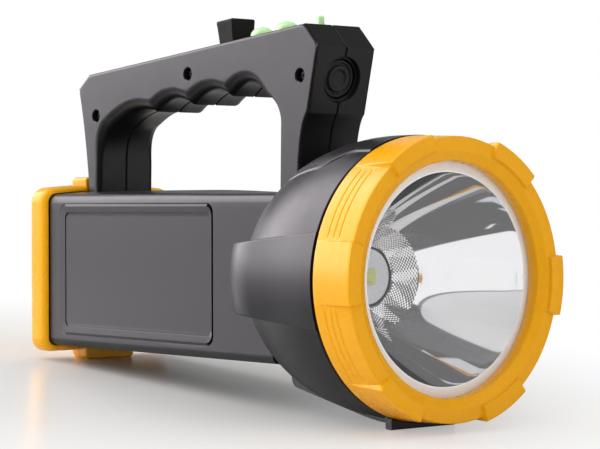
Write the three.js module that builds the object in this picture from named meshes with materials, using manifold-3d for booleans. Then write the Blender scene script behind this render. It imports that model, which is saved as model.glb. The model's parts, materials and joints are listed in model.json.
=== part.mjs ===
// A hand-held searchlight: a boxy body with a round lamp head, a carrying handle on top,
// a yellow bezel in front and a yellow cap behind.
//
// The pieces are drawn in the lamp's own frame, in millimetres: the lamp axis is the X axis, the beam
// leaves along +X, the rim of the bezel's mouth is at x = 0, +Y is the left side and +Z is up.
// The finished lamp is then turned nose up until its front foot and its rear cap stand on z = 0.

import * as THREE from 'three';
import { mergeVertices } from 'three/addons/utils/BufferGeometryUtils.js';
import Module from 'manifold-3d';

const wasm = await Module();
wasm.setup();

// Fits and facets

const fitGap = 0.3;
const cutOverrun = 5;
const largeRingSteps = 48;
const hiddenRingSteps = 24;
const smallRingSteps = 20;
const screwSteps = 10;
const curveSteps = 6;
const cornerSteps = 2;

// Bezel

const bezelLip = 3.8;
const bezelLipDepth = 4;
const bezelFaceDish = 1.7;
const bezelFaceSlope = 2.8;
const bezelRimRound = 0.6;
const bezelTaper = 0.6;
const bezelOverhang = 0.3;
const bezelDepth = 14.7;
const bezelLugRise = 1;
const bezelLugStep = 1.3;
const bezelLugRoot = 2.8;
const bezelLugFaceRoot = 4.5;
const bezelLugCount = 6;
const bezelLugAngle = 24.6;
const bezelLugTurn = -3.5;
const bezelLugChamfer = 0.6;
const bezelSealThickness = 0.8;
const bezelSealSetback = 1;

// Lens, reflector and lamp

const lensSink = 1.5;
const lensThickness = 1.2;
const reflectorFlangeSetback = 0.8;
const reflectorFlangeThickness = 1.4;
const reflectorMouthSetback = 3.4;
const reflectorHoleRadius = 9.8;
const reflectorDepth = 37;
const reflectorWall = 1.6;
const ledBoardRadius = 13;
const ledBoardThickness = 1.6;
const ledChipSide = 5;
const ledChipHeight = 0.9;
const ledBoardInset = 0.4;
const heatSinkRadius = 23;
const heatSinkThickness = 3;
const heatSinkFinCount = 7;
const heatSinkFinThickness = 1.4;
const heatSinkFinPitch = 4.2;
const heatSinkFinDepth = 10;
const heatSinkFinRadius = 15.5;
const heatSinkScrewRadius = 19.5;
const heatSinkScrewCount = 3;

// Head of the housing

const headRadius = 44.7;
const headRimLength = 6.2;
const neckStep = 3.3;
const neckWall = 2;
const headWall = 2.4;
const flareLength = 56;
const flareDrop = 38;
const sinkLedgeThickness = 2.6;
const sinkLedgeOpening = 17;
const sideFairingSetback = 0.7;
const sideFairingFlareStart = -47;
const sideFairingFlareLength = 24;
const sideFairingFlareDrop = 20;
const sideFairingFrontHalfHeight = 15.2;
const sideFairingRearHalfHeight = 10.6;

// Body of the housing

const bodyHalfWidth = 27;
const bodyBottom = -28.1;
const bodyRear = -191.6;
const bodyFront = -56;
const bodyWall = 2.2;
const bodyCornerRadius = 3;
const bodyInnerCornerRadius = 1.2;
const panelFront = -87.3;
const panelRearMargin = 12.5;
const panelHalfHeight = 23.8;
const panelDepth = 1.2;
const panelSlope = 3.6;
const panelFrontSlope = 0.4;
const panelCornerRadius = 3.4;
const capBossRadius = 3.6;
const capBossLength = 12;

// Rear cap

const capOverlap = 5.3;
const capFloor = 3;
const capOverhang = 2.5;
const capCornerRadius = 5;
const capEdgeRadius = 2.6;
const capLugHalfWidth = 10.8;
const capLugHeight = 2.8;
const capSealThickness = 0.8;
const capSealRoom = 0.5;
const capRecessDepth = 1;
const capRecessMargin = 11;

// Front foot

const footReach = 1.8;
const footHalfWidth = 13.6;
const footBarThickness = 2.8;
const footKeelHalfWidth = 5;
const footKeelRear = -73;
const footKeelRearBottom = -37;
const footPadLength = 18.3;
const footDrop = 2.1;

// Handle

const handleRearSetback = 3;
const handleNose = -50.3;
const handleTop = 82.4;
const handleHalfThickness = 12.6;
const handleWall = 2;
const handleEdgeRadius = 1.2;
const gripFillet = 4.2;
const gripColumnFillet = 2.4;
const gripFilletSteps = 3;
const handleScrewHoleRadius = 2.2;
const handleScrewHeadDepth = 3.4;
const handleBossRadius = 2.9;
const handleFootSolidHeight = 8;

// The handle's outline as shares of its length, from the rear, and of its height over the body.

const handleOuterShares = [
  [0.048, 0],
  [0.031, 0.4],
  [0.0036, 0.665],
  [0, 0.715],
  [0.049, 0.803],
  [0.9465, 1],
  [1, 0.861],
  [0.963, 0.4675],
  [0.932, 0.399],
  [0.927, 0],
];
const gripFrontFootShare = [0.859, 0];
const gripFrontColumnShare = [0.862, 0.433];
const gripFrontArcShares = [[0.856, 0.555], [0.8, 0.592]];
const gripGrooveShares = [
  [[0.716, 0.76], [0.6478, 0.6]],
  [[0.564, 0.705], [0.488, 0.563]],
  [[0.405, 0.668], [0.332, 0.531]],
  [[0.245, 0.6], [0.146, 0.46]],
];
const gripRearArcShares = [[0.1, 0.42], [0.096, 0.25]];
const gripRearFootShare = [0.094, 0];
const gripFilletStartShare = 0.86;
const gripFilletFullShare = 0.74;
const handleScrewShares = [[0.084, 0.523], [0.492, 0.754], [0.934, 0.693]];

// Slide switch on the handle

const knobPlaceShare = 0.5785;
const knobLength = 5.6;
const knobWidth = 12;
const knobHeight = 10.1;
const knobCrown = 1;
const knobWaist = 0.5;
const knobTravel = 3;
const knobStemLength = 3.4;
const knobStemWidth = 5;
const knobShutterWidth = 8;
const knobShutterThickness = 1.2;
const slideSwitchLength = 12;
const slideSwitchWidth = 6;
const slideSwitchHeight = 3.2;
const slideActuatorSide = 1.8;

// Push buttons and pilot light

const buttonRadius = 4.9;
const buttonHeight = 4.8;
const buttonFlangeRadius = 6.2;
const buttonFlangeThickness = 1;
const buttonTravel = 1;
const buttonStemRadius = 1.6;
const buttonPlaceShares = [0.681, 0.7765];
const tactSide = 6;
const tactHeight = 2.6;
const pilotPlaceShare = 0.9045;
const pilotRadius = 1.25;
const pilotHeight = 4;
const pilotFlangeRadius = 3;
const pilotFlangeThickness = 0.8;
const pilotLedHeight = 1;
const switchBoardDepth = 9;
const switchBoardThickness = 1.2;
const switchBoardRearMargin = 7.8;
const switchBoardFrontMargin = 2.6;
const switchBoardSideGap = 2;
const switchBoardLedge = 1.4;

// Charging port in the handle's nose

const portHeightShare = 0.668;
const portPocketRadius = 7.5;
const portPocketStepRadius = 6.7;
const portPocketStep = 1.4;
const portPocketDepth = 4.2;
const portCupWall = 1.4;
const plugRadius = 6.3;
const plugThickness = 1.9;
const plugRimRadius = 5;
const plugRimHeight = 0.5;
const portDrop = 2.9;
const portWidth = 7.6;
const portThickness = 2.8;
const portLength = 5.4;
const portShell = 0.5;
const plugTongueLength = 4.4;
const chargeBoardThickness = 1.2;
const chargeBoardWidth = 12;
const chargeBoardLength = 8;

// Battery and driver board

const cellRadius = 9.15;
const cellLength = 65;
const cellSpacing = 0.7;
const cellSetback = 19.6;
const cellNubRadius = 2.8;
const cellNubHeight = 0.8;
const holderWall = 2.2;
const holderFloor = 1.6;
const holderSpare = 0.5;
const driverBoardThickness = 1.6;
const driverBoardHalfWidth = 18;
const driverBoardHeadroom = 9.3;
const inductorRadius = 5;
const inductorHeight = 4.4;
const capacitorRadius = 2.6;
const capacitorLength = 9;
const connectorLength = 6;
const connectorWidth = 9;
const connectorHeight = 3.6;

// Screws

const screwShaftRadius = 1.1;
const screwHeadRadius = 2;
const screwHeadHeight = 1.5;
const screwBoreRadius = 1.45;
const screwSeatRadius = 2.4;
const capScrewLength = 11;
const sinkScrewLength = 7.9;
const handleScrewLength = 15;
const handleBaseScrewLength = 9;

// Sizes that follow from the ones above

const neckRadius = headRadius - neckStep;
const bezelRearRadius = headRadius + bezelOverhang;
const bezelFrontRadius = bezelRearRadius - bezelTaper;
const bezelFaceRadius = bezelFrontRadius - bezelRimRound;
const bezelLugRadius = bezelRearRadius + bezelLugRise;
const bezelLugInnerRadius = bezelRearRadius - bezelLugRoot;
const bezelLugFaceRadius = bezelRearRadius - bezelLugFaceRoot;
const bezelSealRadius = bezelRearRadius - bezelSealSetback;
const reflectorFlangeRadius = neckRadius - reflectorFlangeSetback;
const mouthRadius = reflectorFlangeRadius - bezelLip;
const lensRadius = mouthRadius - fitGap;
const bezelRidgeRadius = mouthRadius + bezelFaceSlope;
const reflectorMouthRadius = mouthRadius - reflectorMouthSetback;
const sideFairingRadius = headRadius - sideFairingSetback;
const headShoulder = -bezelDepth - bezelSealThickness - fitGap;
const flareStart = headShoulder - headRimLength;
const lensFront = -lensSink;
const lensRear = lensFront - lensThickness;
const reflectorFront = lensRear - fitGap;
const flangeFront = -bezelLipDepth - fitGap;
const flangeRear = flangeFront - reflectorFlangeThickness;
const neckFront = flangeRear - fitGap;
const bowlRear = reflectorFront - reflectorDepth;
const ledBoardFront = bowlRear - ledBoardInset;
const ledBoardRear = ledBoardFront - ledBoardThickness;
const sinkFront = ledBoardRear - fitGap;
const sinkRear = sinkFront - heatSinkThickness;
const ledgeFront = sinkRear - fitGap;
const cellPitch = 2 * cellRadius + cellSpacing;
const cellRear = bodyRear + cellSetback;
const holderBase = bodyBottom + bodyWall + fitGap;
const lowerCellHeight = holderBase + holderFloor + fitGap + cellRadius;
const holderTop = lowerCellHeight + cellPitch + cellRadius;
const driverBoardSole = holderTop + fitGap;
const bodyTop = driverBoardSole + driverBoardThickness + driverBoardHeadroom + bodyWall;
const panelRear = bodyRear + panelRearMargin;
const capSealFront = bodyRear - fitGap;
const capSealRear = capSealFront - capSealThickness;
const capFront = bodyRear + capOverlap;
const capRear = capSealRear - capSealRoom - capFloor;
const capHalfWidth = bodyHalfWidth + capOverhang;
const capTop = bodyTop + capOverhang;
const capBottom = bodyBottom - capOverhang;
const capScrewSeatDepth = screwHeadHeight + 2 * fitGap;
const capLugBottom = capBottom - capLugHeight;
const footFront = headShoulder + footReach;
const footBottom = -headRadius - footDrop;
const restSlope = (capLugBottom - footBottom) / (footFront - capRear);
const restTilt = Math.atan(restSlope);
const handleRear = bodyRear + handleRearSetback;
const handleLength = handleNose - handleRear;
const knobPlace = handleRear + knobPlaceShare * handleLength;
const buttonPlaces = buttonPlaceShares.map((share) => handleRear + share * handleLength);
const pilotPlace = handleRear + pilotPlaceShare * handleLength;
const handleHeight = handleTop - bodyTop;
const handleFoot = bodyTop + fitGap;
const handleSplit = fitGap / 2;
const switchBoardRear = knobPlace - switchBoardRearMargin;
const switchBoardFront = pilotPlace + switchBoardFrontMargin;
const switchBoardHalfWidth = handleHalfThickness - handleWall - switchBoardSideGap;

// Solids from geometry

function signedVolume(places, corners) {
  const a = new THREE.Vector3();
  const b = new THREE.Vector3();
  const c = new THREE.Vector3();
  let sum = 0;
  for (let i = 0; i < corners.length; i += 3) {
    a.fromArray(places, 3 * corners[i]);
    b.fromArray(places, 3 * corners[i + 1]);
    c.fromArray(places, 3 * corners[i + 2]);
    sum += a.dot(b.cross(c)) / 6;
  }
  return sum;
}

function toSolid(geometry) {
  const bare = geometry.clone();
  bare.deleteAttribute('normal');
  bare.deleteAttribute('uv');
  const welded = mergeVertices(bare);
  const places = welded.attributes.position.array;
  const kept = [];
  const all = welded.index.array;
  for (let i = 0; i < all.length; i += 3) {
    const [a, b, c] = [all[i], all[i + 1], all[i + 2]];
    if (a !== b && b !== c && c !== a) kept.push(a, b, c);
  }
  if (signedVolume(places, kept) < 0) kept.reverse();
  return new wasm.Manifold(new wasm.Mesh({
    numProp: 3,
    vertProperties: Float32Array.from(places),
    triVerts: Uint32Array.from(kept),
  }));
}

function toMesh(name, solid, material) {
  const { vertProperties, triVerts, numProp } = solid.getMesh();
  const places = new Float32Array(3 * (vertProperties.length / numProp));
  for (let i = 0; i < places.length / 3; i += 1) {
    for (let k = 0; k < 3; k += 1) places[3 * i + k] = vertProperties[numProp * i + k];
  }
  const geometry = new THREE.BufferGeometry();
  geometry.setAttribute('position', new THREE.BufferAttribute(places, 3));
  geometry.setIndex(new THREE.BufferAttribute(triVerts, 1));
  geometry.computeVertexNormals();
  const mesh = new THREE.Mesh(geometry, material);
  mesh.name = name;
  return mesh;
}

function union(solids) {
  return solids.reduce((whole, next) => whole.add(next));
}

function cutAway(solid, tools) {
  return tools.reduce((left, tool) => left.subtract(tool), solid);
}

// A closed profile of [x, radius] pairs turned about the lamp axis.
function revolve(profile, steps = largeRingSteps) {
  const points = profile.map(([x, radius]) => new THREE.Vector2(radius, x));
  points.push(points[0].clone());
  const geometry = new THREE.LatheGeometry(points, steps);
  geometry.rotateZ(-Math.PI / 2);
  return toSolid(geometry);
}

// Shapes are drawn in the plane across the extrusion: (x, z) along Y, (y, z) along X, (x, y) along Z.
const planeBases = {
  x: new THREE.Matrix4().makeBasis(
    new THREE.Vector3(0, 1, 0), new THREE.Vector3(0, 0, 1), new THREE.Vector3(1, 0, 0)),
  y: new THREE.Matrix4().makeBasis(
    new THREE.Vector3(1, 0, 0), new THREE.Vector3(0, 0, 1), new THREE.Vector3(0, -1, 0)),
  z: new THREE.Matrix4(),
};

function extrude(shape, axis, from, to, bevel = 0, facets = cornerSteps) {
  const length = Math.abs(to - from);
  const geometry = new THREE.ExtrudeGeometry(shape, {
    depth: length - 2 * bevel,
    steps: 1,
    curveSegments: facets,
    bevelEnabled: bevel > 0,
    bevelThickness: bevel,
    bevelSize: bevel,
    bevelOffset: -bevel,
    bevelSegments: 2,
  });
  geometry.translate(0, 0, bevel);
  geometry.applyMatrix4(planeBases[axis]);
  const start = axis === 'y' ? Math.max(from, to) : Math.min(from, to);
  const shift = { x: [start, 0, 0], y: [0, start, 0], z: [0, 0, start] }[axis];
  geometry.translate(...shift);
  return toSolid(geometry);
}

// A solid between two outlines of as many points, drawn at two places along an axis.
function loft(outlineFrom, outlineTo, axis, from, to) {
  const flip = axis === 'y' ? -1 : 1;
  const count = outlineFrom.length;
  const places = [
    ...outlineFrom.flatMap((point) => [point.x, point.y, flip * from]),
    ...outlineTo.flatMap((point) => [point.x, point.y, flip * to])];
  const corners = [];
  for (let i = 0; i < count; i += 1) {
    const next = (i + 1) % count;
    corners.push(i, next, count + next, i, count + next, count + i);
  }
  for (const [a, b, c] of THREE.ShapeUtils.triangulateShape(outlineFrom, [])) corners.push(a, c, b);
  for (const [a, b, c] of THREE.ShapeUtils.triangulateShape(outlineTo, [])) {
    corners.push(count + a, count + b, count + c);
  }
  const geometry = new THREE.BufferGeometry();
  geometry.setAttribute('position', new THREE.Float32BufferAttribute(places, 3));
  geometry.setIndex(corners);
  geometry.applyMatrix4(planeBases[axis]);
  return toSolid(geometry);
}

function polygon(points) {
  return new THREE.Shape(points.map(([u, v]) => new THREE.Vector2(u, v)));
}

function rectangle(u0, u1, v0, v1) {
  return polygon([[u0, v0], [u1, v0], [u1, v1], [u0, v1]]);
}

function roundedRectangle(u0, u1, v0, v1, radius) {
  const shape = new THREE.Shape();
  shape.moveTo(u0 + radius, v0);
  shape.lineTo(u1 - radius, v0);
  shape.absarc(u1 - radius, v0 + radius, radius, -Math.PI / 2, 0);
  shape.lineTo(u1, v1 - radius);
  shape.absarc(u1 - radius, v1 - radius, radius, 0, Math.PI / 2);
  shape.lineTo(u0 + radius, v1);
  shape.absarc(u0 + radius, v1 - radius, radius, Math.PI / 2, Math.PI);
  shape.lineTo(u0, v0 + radius);
  shape.absarc(u0 + radius, v0 + radius, radius, Math.PI, 1.5 * Math.PI);
  return shape;
}

function block(x0, x1, y0, y1, z0, z1) {
  return extrude(rectangle(x0, x1, y0, y1), 'z', z0, z1);
}

const axisTurns = {
  x: (geometry) => geometry.rotateZ(-Math.PI / 2),
  y: (geometry) => geometry,
  z: (geometry) => geometry.rotateX(Math.PI / 2),
};

// A round bar from a place along an axis; a second radius makes it a cone.
function bar(axis, place, length, radius, steps = screwSteps, endRadius = radius) {
  const geometry = new THREE.CylinderGeometry(endRadius, radius, Math.abs(length), steps);
  geometry.translate(0, length / 2, 0);
  if (length < 0 && endRadius !== radius) geometry.scale(1, -1, 1);
  axisTurns[axis](geometry);
  geometry.translate(...place);
  return toSolid(geometry);
}

// A screw with its head's top at a place and its shaft running along an axis; sign is the way it points.
function screw(axis, place, sign, length) {
  const index = { x: 0, y: 1, z: 2 }[axis];
  const seat = place.map((value, k) => (k === index ? value + sign * (screwHeadHeight / 2) : value));
  const head = bar(axis, place, sign * screwHeadHeight, screwHeadRadius);
  const shaft = bar(axis, seat, sign * (length - screwHeadHeight / 2), screwShaftRadius);
  return head.add(shaft);
}

// Materials

function plastic(color, roughness) {
  return new THREE.MeshStandardMaterial({ color, roughness, metalness: 0, flatShading: true });
}

function metal(color, roughness) {
  return new THREE.MeshStandardMaterial({ color, roughness, metalness: 1, flatShading: true });
}

const blackPlastic = () => plastic(0x3a383b, 0.42);
const yellowPlastic = () => plastic(0xf5b014, 0.3);
const blackRubber = () => plastic(0x161617, 0.75);
const greenPlastic = () => plastic(0xb4eb96, 0.3);
const circuitBoard = () => plastic(0x1f5c38, 0.5);
const screwSteel = () => metal(0x8d9096, 0.35);

// Head and body housing

// Radius of the head where it curves down into the body.
function flareRadius(x, start = flareStart, radius = headRadius, length = flareLength, drop = flareDrop) {
  const share = Math.min(1, Math.max(0, (start - x) / length));
  return radius - drop * (1 - Math.sqrt(1 - share * share));
}

// Outline of the head as a revolve, grown outwards by an offset that may be negative.
function headProfile(front, offset) {
  const lastShare = 0.93;
  const points = [[front, 0], [front, headRadius + offset]];
  const steps = 8;
  for (let i = 0; i <= steps; i += 1) {
    const x = flareStart - (lastShare * flareLength * i) / steps;
    points.push([x, flareRadius(x) + offset]);
  }
  points.push([flareStart - lastShare * flareLength, 0]);
  return points;
}

function bodyShape(offset) {
  return roundedRectangle(
    -bodyHalfWidth - offset, bodyHalfWidth + offset,
    bodyBottom - offset, bodyTop + offset, Math.max(bodyCornerRadius + offset, bodyInnerCornerRadius));
}

function sideFairings() {
  const rear = sideFairingFlareStart - sideFairingFlareLength;
  const limit = [[headShoulder, 0], [headShoulder, sideFairingRadius + fitGap]];
  const steps = 6;
  for (let i = 0; i <= steps; i += 1) {
    const x = sideFairingFlareStart - (sideFairingFlareLength * i) / steps;
    limit.push([x, flareRadius(
      x, sideFairingFlareStart, sideFairingRadius, sideFairingFlareLength, sideFairingFlareDrop)]);
  }
  limit.push([rear, 0]);
  const corner = sideFairingRearHalfHeight / 2;
  const side = new THREE.Shape();
  side.moveTo(headShoulder, -sideFairingFrontHalfHeight);
  side.lineTo(headShoulder, sideFairingFrontHalfHeight);
  side.lineTo(rear + corner, sideFairingRearHalfHeight);
  side.quadraticCurveTo(rear, sideFairingRearHalfHeight, rear, sideFairingRearHalfHeight - corner);
  side.lineTo(rear, corner - sideFairingRearHalfHeight);
  side.quadraticCurveTo(rear, -sideFairingRearHalfHeight, rear + corner, -sideFairingRearHalfHeight);
  const across = extrude(side, 'y', -headRadius, headRadius);
  return revolve(limit).intersect(across);
}

// A shallow panel sunk in each flank: three of its walls slope gently and the front one is steep.
function flankPanels() {
  const rim = roundedRectangle(
    panelRear, panelFront, -panelHalfHeight, panelHalfHeight, panelCornerRadius).getPoints(cornerSteps);
  const floor = roundedRectangle(
    panelRear + panelSlope, panelFront - panelFrontSlope,
    panelSlope - panelHalfHeight, panelHalfHeight - panelSlope, panelCornerRadius).getPoints(cornerSteps);
  const sloping = loft(floor, rim, 'y', bodyHalfWidth - panelDepth, bodyHalfWidth);
  const straight = loft(rim, rim, 'y', bodyHalfWidth, bodyHalfWidth + cutOverrun);
  const left = sloping.add(straight);
  return [left, left.mirror([0, 1, 0])];
}

// The cap's screws run into bosses in the four corners of the body, half sunk in its wall.
function capBossPlaces() {
  const inward = bodyWall / 2 + capBossRadius;
  const places = [];
  for (const y of [inward - bodyHalfWidth, bodyHalfWidth - inward]) {
    for (const z of [bodyBottom + inward, bodyTop - inward]) places.push([y, z]);
  }
  return places;
}

// Places of the screws that hold the handle's feet down, one for each half of each foot.
function handleBaseScrewPlaces() {
  const rearX = handleRear + handleLength * (handleOuterShares[0][0] + gripRearFootShare[0]) / 2;
  const frontX = handleRear + handleLength * (gripFrontFootShare[0] + handleOuterShares.at(-1)[0]) / 2;
  const places = [];
  for (const x of [rearX, frontX]) {
    for (const side of [-1, 1]) places.push([x, side * handleHalfThickness / 2]);
  }
  return places;
}

const saddleDepth = bodyWall + screwHeadHeight;

// Height of the housing's outside under a screw that holds the handle down.
function housingTop([x, y]) {
  return Math.max(bodyTop, Math.sqrt(Math.max(0, flareRadius(x) ** 2 - y ** 2)));
}

function handleSaddles() {
  const inMidWall = union([
    revolve(headProfile(headShoulder, -headWall / 2), hiddenRingSteps),
    extrude(bodyShape(-bodyWall / 2), 'x', bodyFront, bodyRear)]);
  const blocks = handleBaseScrewPlaces().filter((place) => place[1] > 0).map(([x, y]) => block(
    x - handleBossRadius - bodyWall, x + handleBossRadius + bodyWall,
    -handleHalfThickness, handleHalfThickness, housingTop([x, y]) - saddleDepth, headRadius));
  return blocks.map((saddle) => saddle.intersect(inMidWall));
}

function housing() {
  const shell = union([
    revolve(headProfile(headShoulder, 0)),
    revolve([[neckFront, 0], [neckFront, neckRadius], [headShoulder - headWall, neckRadius],
      [headShoulder - headWall, 0]]),
    extrude(bodyShape(0), 'x', bodyFront, bodyRear),
    sideFairings(),
    frontFoot(),
  ]);
  const headHollow = headProfile(headShoulder - headWall, -headWall);
  const hollow = union([
    revolve(headHollow, hiddenRingSteps),
    revolve([[neckFront + cutOverrun, 0], [neckFront + cutOverrun, neckRadius - neckWall],
      [headShoulder - 2 * headWall, neckRadius - neckWall], [headShoulder - 2 * headWall, 0]],
    hiddenRingSteps),
    extrude(bodyShape(-bodyWall), 'x', bodyFront, bodyRear - cutOverrun),
  ]);
  const ledge = revolve([
    [ledgeFront, sinkLedgeOpening], [ledgeFront, flareRadius(ledgeFront) - headWall / 2],
    [ledgeFront - sinkLedgeThickness, flareRadius(ledgeFront - sinkLedgeThickness) - headWall / 2],
    [ledgeFront - sinkLedgeThickness, sinkLedgeOpening]], hiddenRingSteps);
  const bosses = capBossPlaces().map(([y, z]) =>
    bar('x', [bodyRear, y, z], capBossLength, capBossRadius, screwSteps)
      .intersect(extrude(bodyShape(-bodyWall / 2), 'x', bodyFront, bodyRear)));
  const inner = union([ledge, ...bosses, ...handleSaddles()]);
  const bores = [
    ...capBossPlaces().map(([y, z]) =>
      bar('x', [bodyRear - cutOverrun, y, z], capBossLength + cutOverrun - bodyWall, screwBoreRadius)),
    ...handleBaseScrewPlaces().flatMap(([x, y]) => {
      const seat = housingTop([x, y]) - saddleDepth;
      return [
        bar('z', [x, y, seat - cutOverrun], cutOverrun, screwSeatRadius),
        bar('z', [x, y, seat - cutOverrun], 2 * cutOverrun + saddleDepth, screwBoreRadius)];
    }),
    ...sinkScrewPlaces().map(([y, z]) =>
      bar('x', [ledgeFront - cutOverrun, y, z], 2 * cutOverrun, screwBoreRadius)),
  ];
  return cutAway(shell.subtract(hollow).add(inner), [...flankPanels(), ...bores]);
}

// Bezel

// The lugs lie flush with the ring's rear edge and stand proud of it towards the front.
function bezelLugs() {
  const front = bezelFaceDish + bezelLugStep;
  const ring = revolve([
    [-bezelDepth, bezelLugInnerRadius],
    [-bezelDepth, bezelRearRadius],
    [front - bezelLugChamfer, bezelLugRadius],
    [front, bezelLugRadius - bezelLugChamfer],
    [front, bezelLugFaceRadius + bezelLugChamfer],
    [front - bezelLugChamfer, bezelLugFaceRadius],
    [0, bezelLugFaceRadius],
    [0, bezelLugInnerRadius],
  ]);
  const half = THREE.MathUtils.degToRad(bezelLugAngle / 2);
  const turn = THREE.MathUtils.degToRad(bezelLugTurn);
  const reach = 2 * bezelLugRadius;
  const wedges = [];
  for (let i = 0; i < bezelLugCount; i += 1) {
    const middle = (2 * Math.PI * i) / bezelLugCount + turn;
    const shape = polygon([
      [0, 0],
      [reach * Math.cos(middle - half), reach * Math.sin(middle - half)],
      [reach * Math.cos(middle + half), reach * Math.sin(middle + half)]]);
    wedges.push(extrude(shape, 'x', -bezelDepth - cutOverrun, cutOverrun));
  }
  return wedges.map((wedge) => ring.intersect(wedge));
}

// The face has a flat band outside and slopes back from its ridge to the mouth.
function bezel() {
  const seatRadius = reflectorFlangeRadius + fitGap;
  const ring = revolve([
    [0, mouthRadius],
    [-bezelLipDepth, mouthRadius],
    [-bezelLipDepth, seatRadius],
    [flangeRear, seatRadius],
    [flangeRear, neckRadius + fitGap],
    [-bezelDepth, neckRadius + fitGap],
    [-bezelDepth, bezelRearRadius],
    [bezelFaceDish - bezelRimRound, bezelFrontRadius],
    [bezelFaceDish, bezelFaceRadius],
    [bezelFaceDish, bezelRidgeRadius],
  ]);
  return union([ring, ...bezelLugs()]);
}

function bezelSeal() {
  const front = -bezelDepth - fitGap / 2;
  return revolve([
    [front, neckRadius + fitGap], [front, bezelSealRadius],
    [front - bezelSealThickness, bezelSealRadius], [front - bezelSealThickness, neckRadius + fitGap]]);
}

// Lens, reflector and lamp

function lens() {
  return revolve([[lensFront, 0], [lensFront, lensRadius], [lensRear, lensRadius], [lensRear, 0]]);
}

// The bowl is a paraboloid: its radius squared grows evenly from the hole to the mouth. A sloping rim
// leads from its mouth to the flange that the bezel clamps.
function reflector() {
  const steps = 9;
  const inside = [];
  const outside = [];
  for (let i = 0; i <= steps; i += 1) {
    const share = i / steps;
    const area = reflectorHoleRadius ** 2 + share * (reflectorMouthRadius ** 2 - reflectorHoleRadius ** 2);
    const x = bowlRear + share * reflectorDepth;
    inside.push([x, Math.sqrt(area)]);
    if (x < flangeRear && i % 2 === 0) outside.push([x, Math.sqrt(area) + reflectorWall]);
  }
  const neckLimit = neckRadius - neckWall - fitGap;
  return revolve([
    ...inside,
    [flangeFront, lensRadius],
    [flangeFront, reflectorFlangeRadius],
    [flangeRear, reflectorFlangeRadius],
    [flangeRear, neckLimit - fitGap],
    ...outside.reverse(),
  ]);
}

function ledBoard() {
  return revolve([
    [ledBoardFront, 0], [ledBoardFront, ledBoardRadius], [ledBoardRear, ledBoardRadius], [ledBoardRear, 0],
  ], hiddenRingSteps);
}

function ledEmitter() {
  const half = ledChipSide / 2;
  const front = ledBoardFront + fitGap + ledChipHeight;
  const base = extrude(
    roundedRectangle(-half, half, -half, half, half / 4), 'x', ledBoardFront + fitGap, front);
  const domeRadius = half * 0.8;
  const dome = [[front - ledChipHeight / 2, 0]];
  const steps = 4;
  for (let i = 0; i <= steps; i += 1) {
    const angle = (Math.PI / 2) * (i / steps);
    dome.push([front + domeRadius * 0.45 * Math.sin(angle), domeRadius * Math.cos(angle)]);
  }
  dome.splice(1, 0, [front - ledChipHeight / 2, domeRadius]);
  return base.add(revolve(dome, screwSteps));
}

function sinkScrewPlaces() {
  return Array.from({ length: heatSinkScrewCount }, (_, i) => {
    const angle = Math.PI / 2 + (2 * Math.PI * i) / heatSinkScrewCount;
    return [heatSinkScrewRadius * Math.cos(angle), heatSinkScrewRadius * Math.sin(angle)];
  });
}

function heatSink() {
  const plate = revolve([
    [sinkFront, 0], [sinkFront, heatSinkRadius], [sinkRear, heatSinkRadius], [sinkRear, 0],
  ], hiddenRingSteps);
  const fins = [];
  for (let i = 0; i < heatSinkFinCount; i += 1) {
    const y = (i - (heatSinkFinCount - 1) / 2) * heatSinkFinPitch;
    const reach = Math.sqrt(heatSinkFinRadius ** 2 - y ** 2);
    fins.push(block(
      sinkRear - heatSinkFinDepth, sinkRear + heatSinkThickness / 2,
      y - heatSinkFinThickness / 2, y + heatSinkFinThickness / 2, -reach, reach));
  }
  const bores = sinkScrewPlaces().map(([y, z]) =>
    bar('x', [sinkRear - cutOverrun, y, z], heatSinkThickness + 2 * cutOverrun, screwBoreRadius));
  return cutAway(union([plate, ...fins]), bores);
}

function sinkScrews() {
  const top = sinkFront + fitGap + screwHeadHeight;
  return sinkScrewPlaces().map(([y, z]) => screw('x', [top, y, z], -1, sinkScrewLength));
}

// Rear cap and its seal

// Height of the ground under a place on the lamp axis.
function groundUnder(x) {
  return footBottom + (footFront - x) * restSlope;
}

function capLugs() {
  const top = roundedRectangle(
    -capLugHalfWidth, capLugHalfWidth, capTop - 2 * capEdgeRadius, capTop + capLugHeight, capLugHeight / 2);
  const side = new THREE.Shape();
  side.moveTo(capFront, capBottom + 2 * capEdgeRadius);
  side.lineTo(capFront, groundUnder(capFront));
  side.lineTo(capRear + capEdgeRadius / 2, groundUnder(capRear + capEdgeRadius / 2));
  side.lineTo(capRear, groundUnder(capRear) + capEdgeRadius / 2);
  side.lineTo(capRear, capBottom + 2 * capEdgeRadius);
  return [
    extrude(top, 'x', capFront, capRear, capLugHeight / 4),
    extrude(side, 'y', -capLugHalfWidth, capLugHalfWidth),
  ];
}

function rearCap() {
  const cutFront = extrude(rectangle(
    -2 * capHalfWidth, 2 * capHalfWidth, -2 * capHalfWidth, 2 * capHalfWidth), 'x', capFront, 0);
  const outline = roundedRectangle(-capHalfWidth, capHalfWidth, capBottom, capTop, capCornerRadius);
  const cap = extrude(outline, 'x', capFront + 2 * capEdgeRadius, capRear, capEdgeRadius);
  const socket = extrude(bodyShape(fitGap), 'x', capFront + cutOverrun, capRear + capFloor);
  const recess = extrude(roundedRectangle(
    -capHalfWidth + capRecessMargin, capHalfWidth - capRecessMargin,
    capBottom + capRecessMargin, capTop - capRecessMargin, capCornerRadius), 'x',
  capRear + capRecessDepth, capRear - cutOverrun);
  const holes = capBossPlaces().flatMap(([y, z]) => [
    bar('x', [capRear - cutOverrun, y, z], 2 * cutOverrun + capFloor, screwBoreRadius),
    bar('x', [capRear - cutOverrun, y, z], cutOverrun + capScrewSeatDepth, screwSeatRadius),
  ]);
  return cutAway(union([cap, ...capLugs()]), [cutFront, socket, recess, ...holes]);
}

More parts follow.
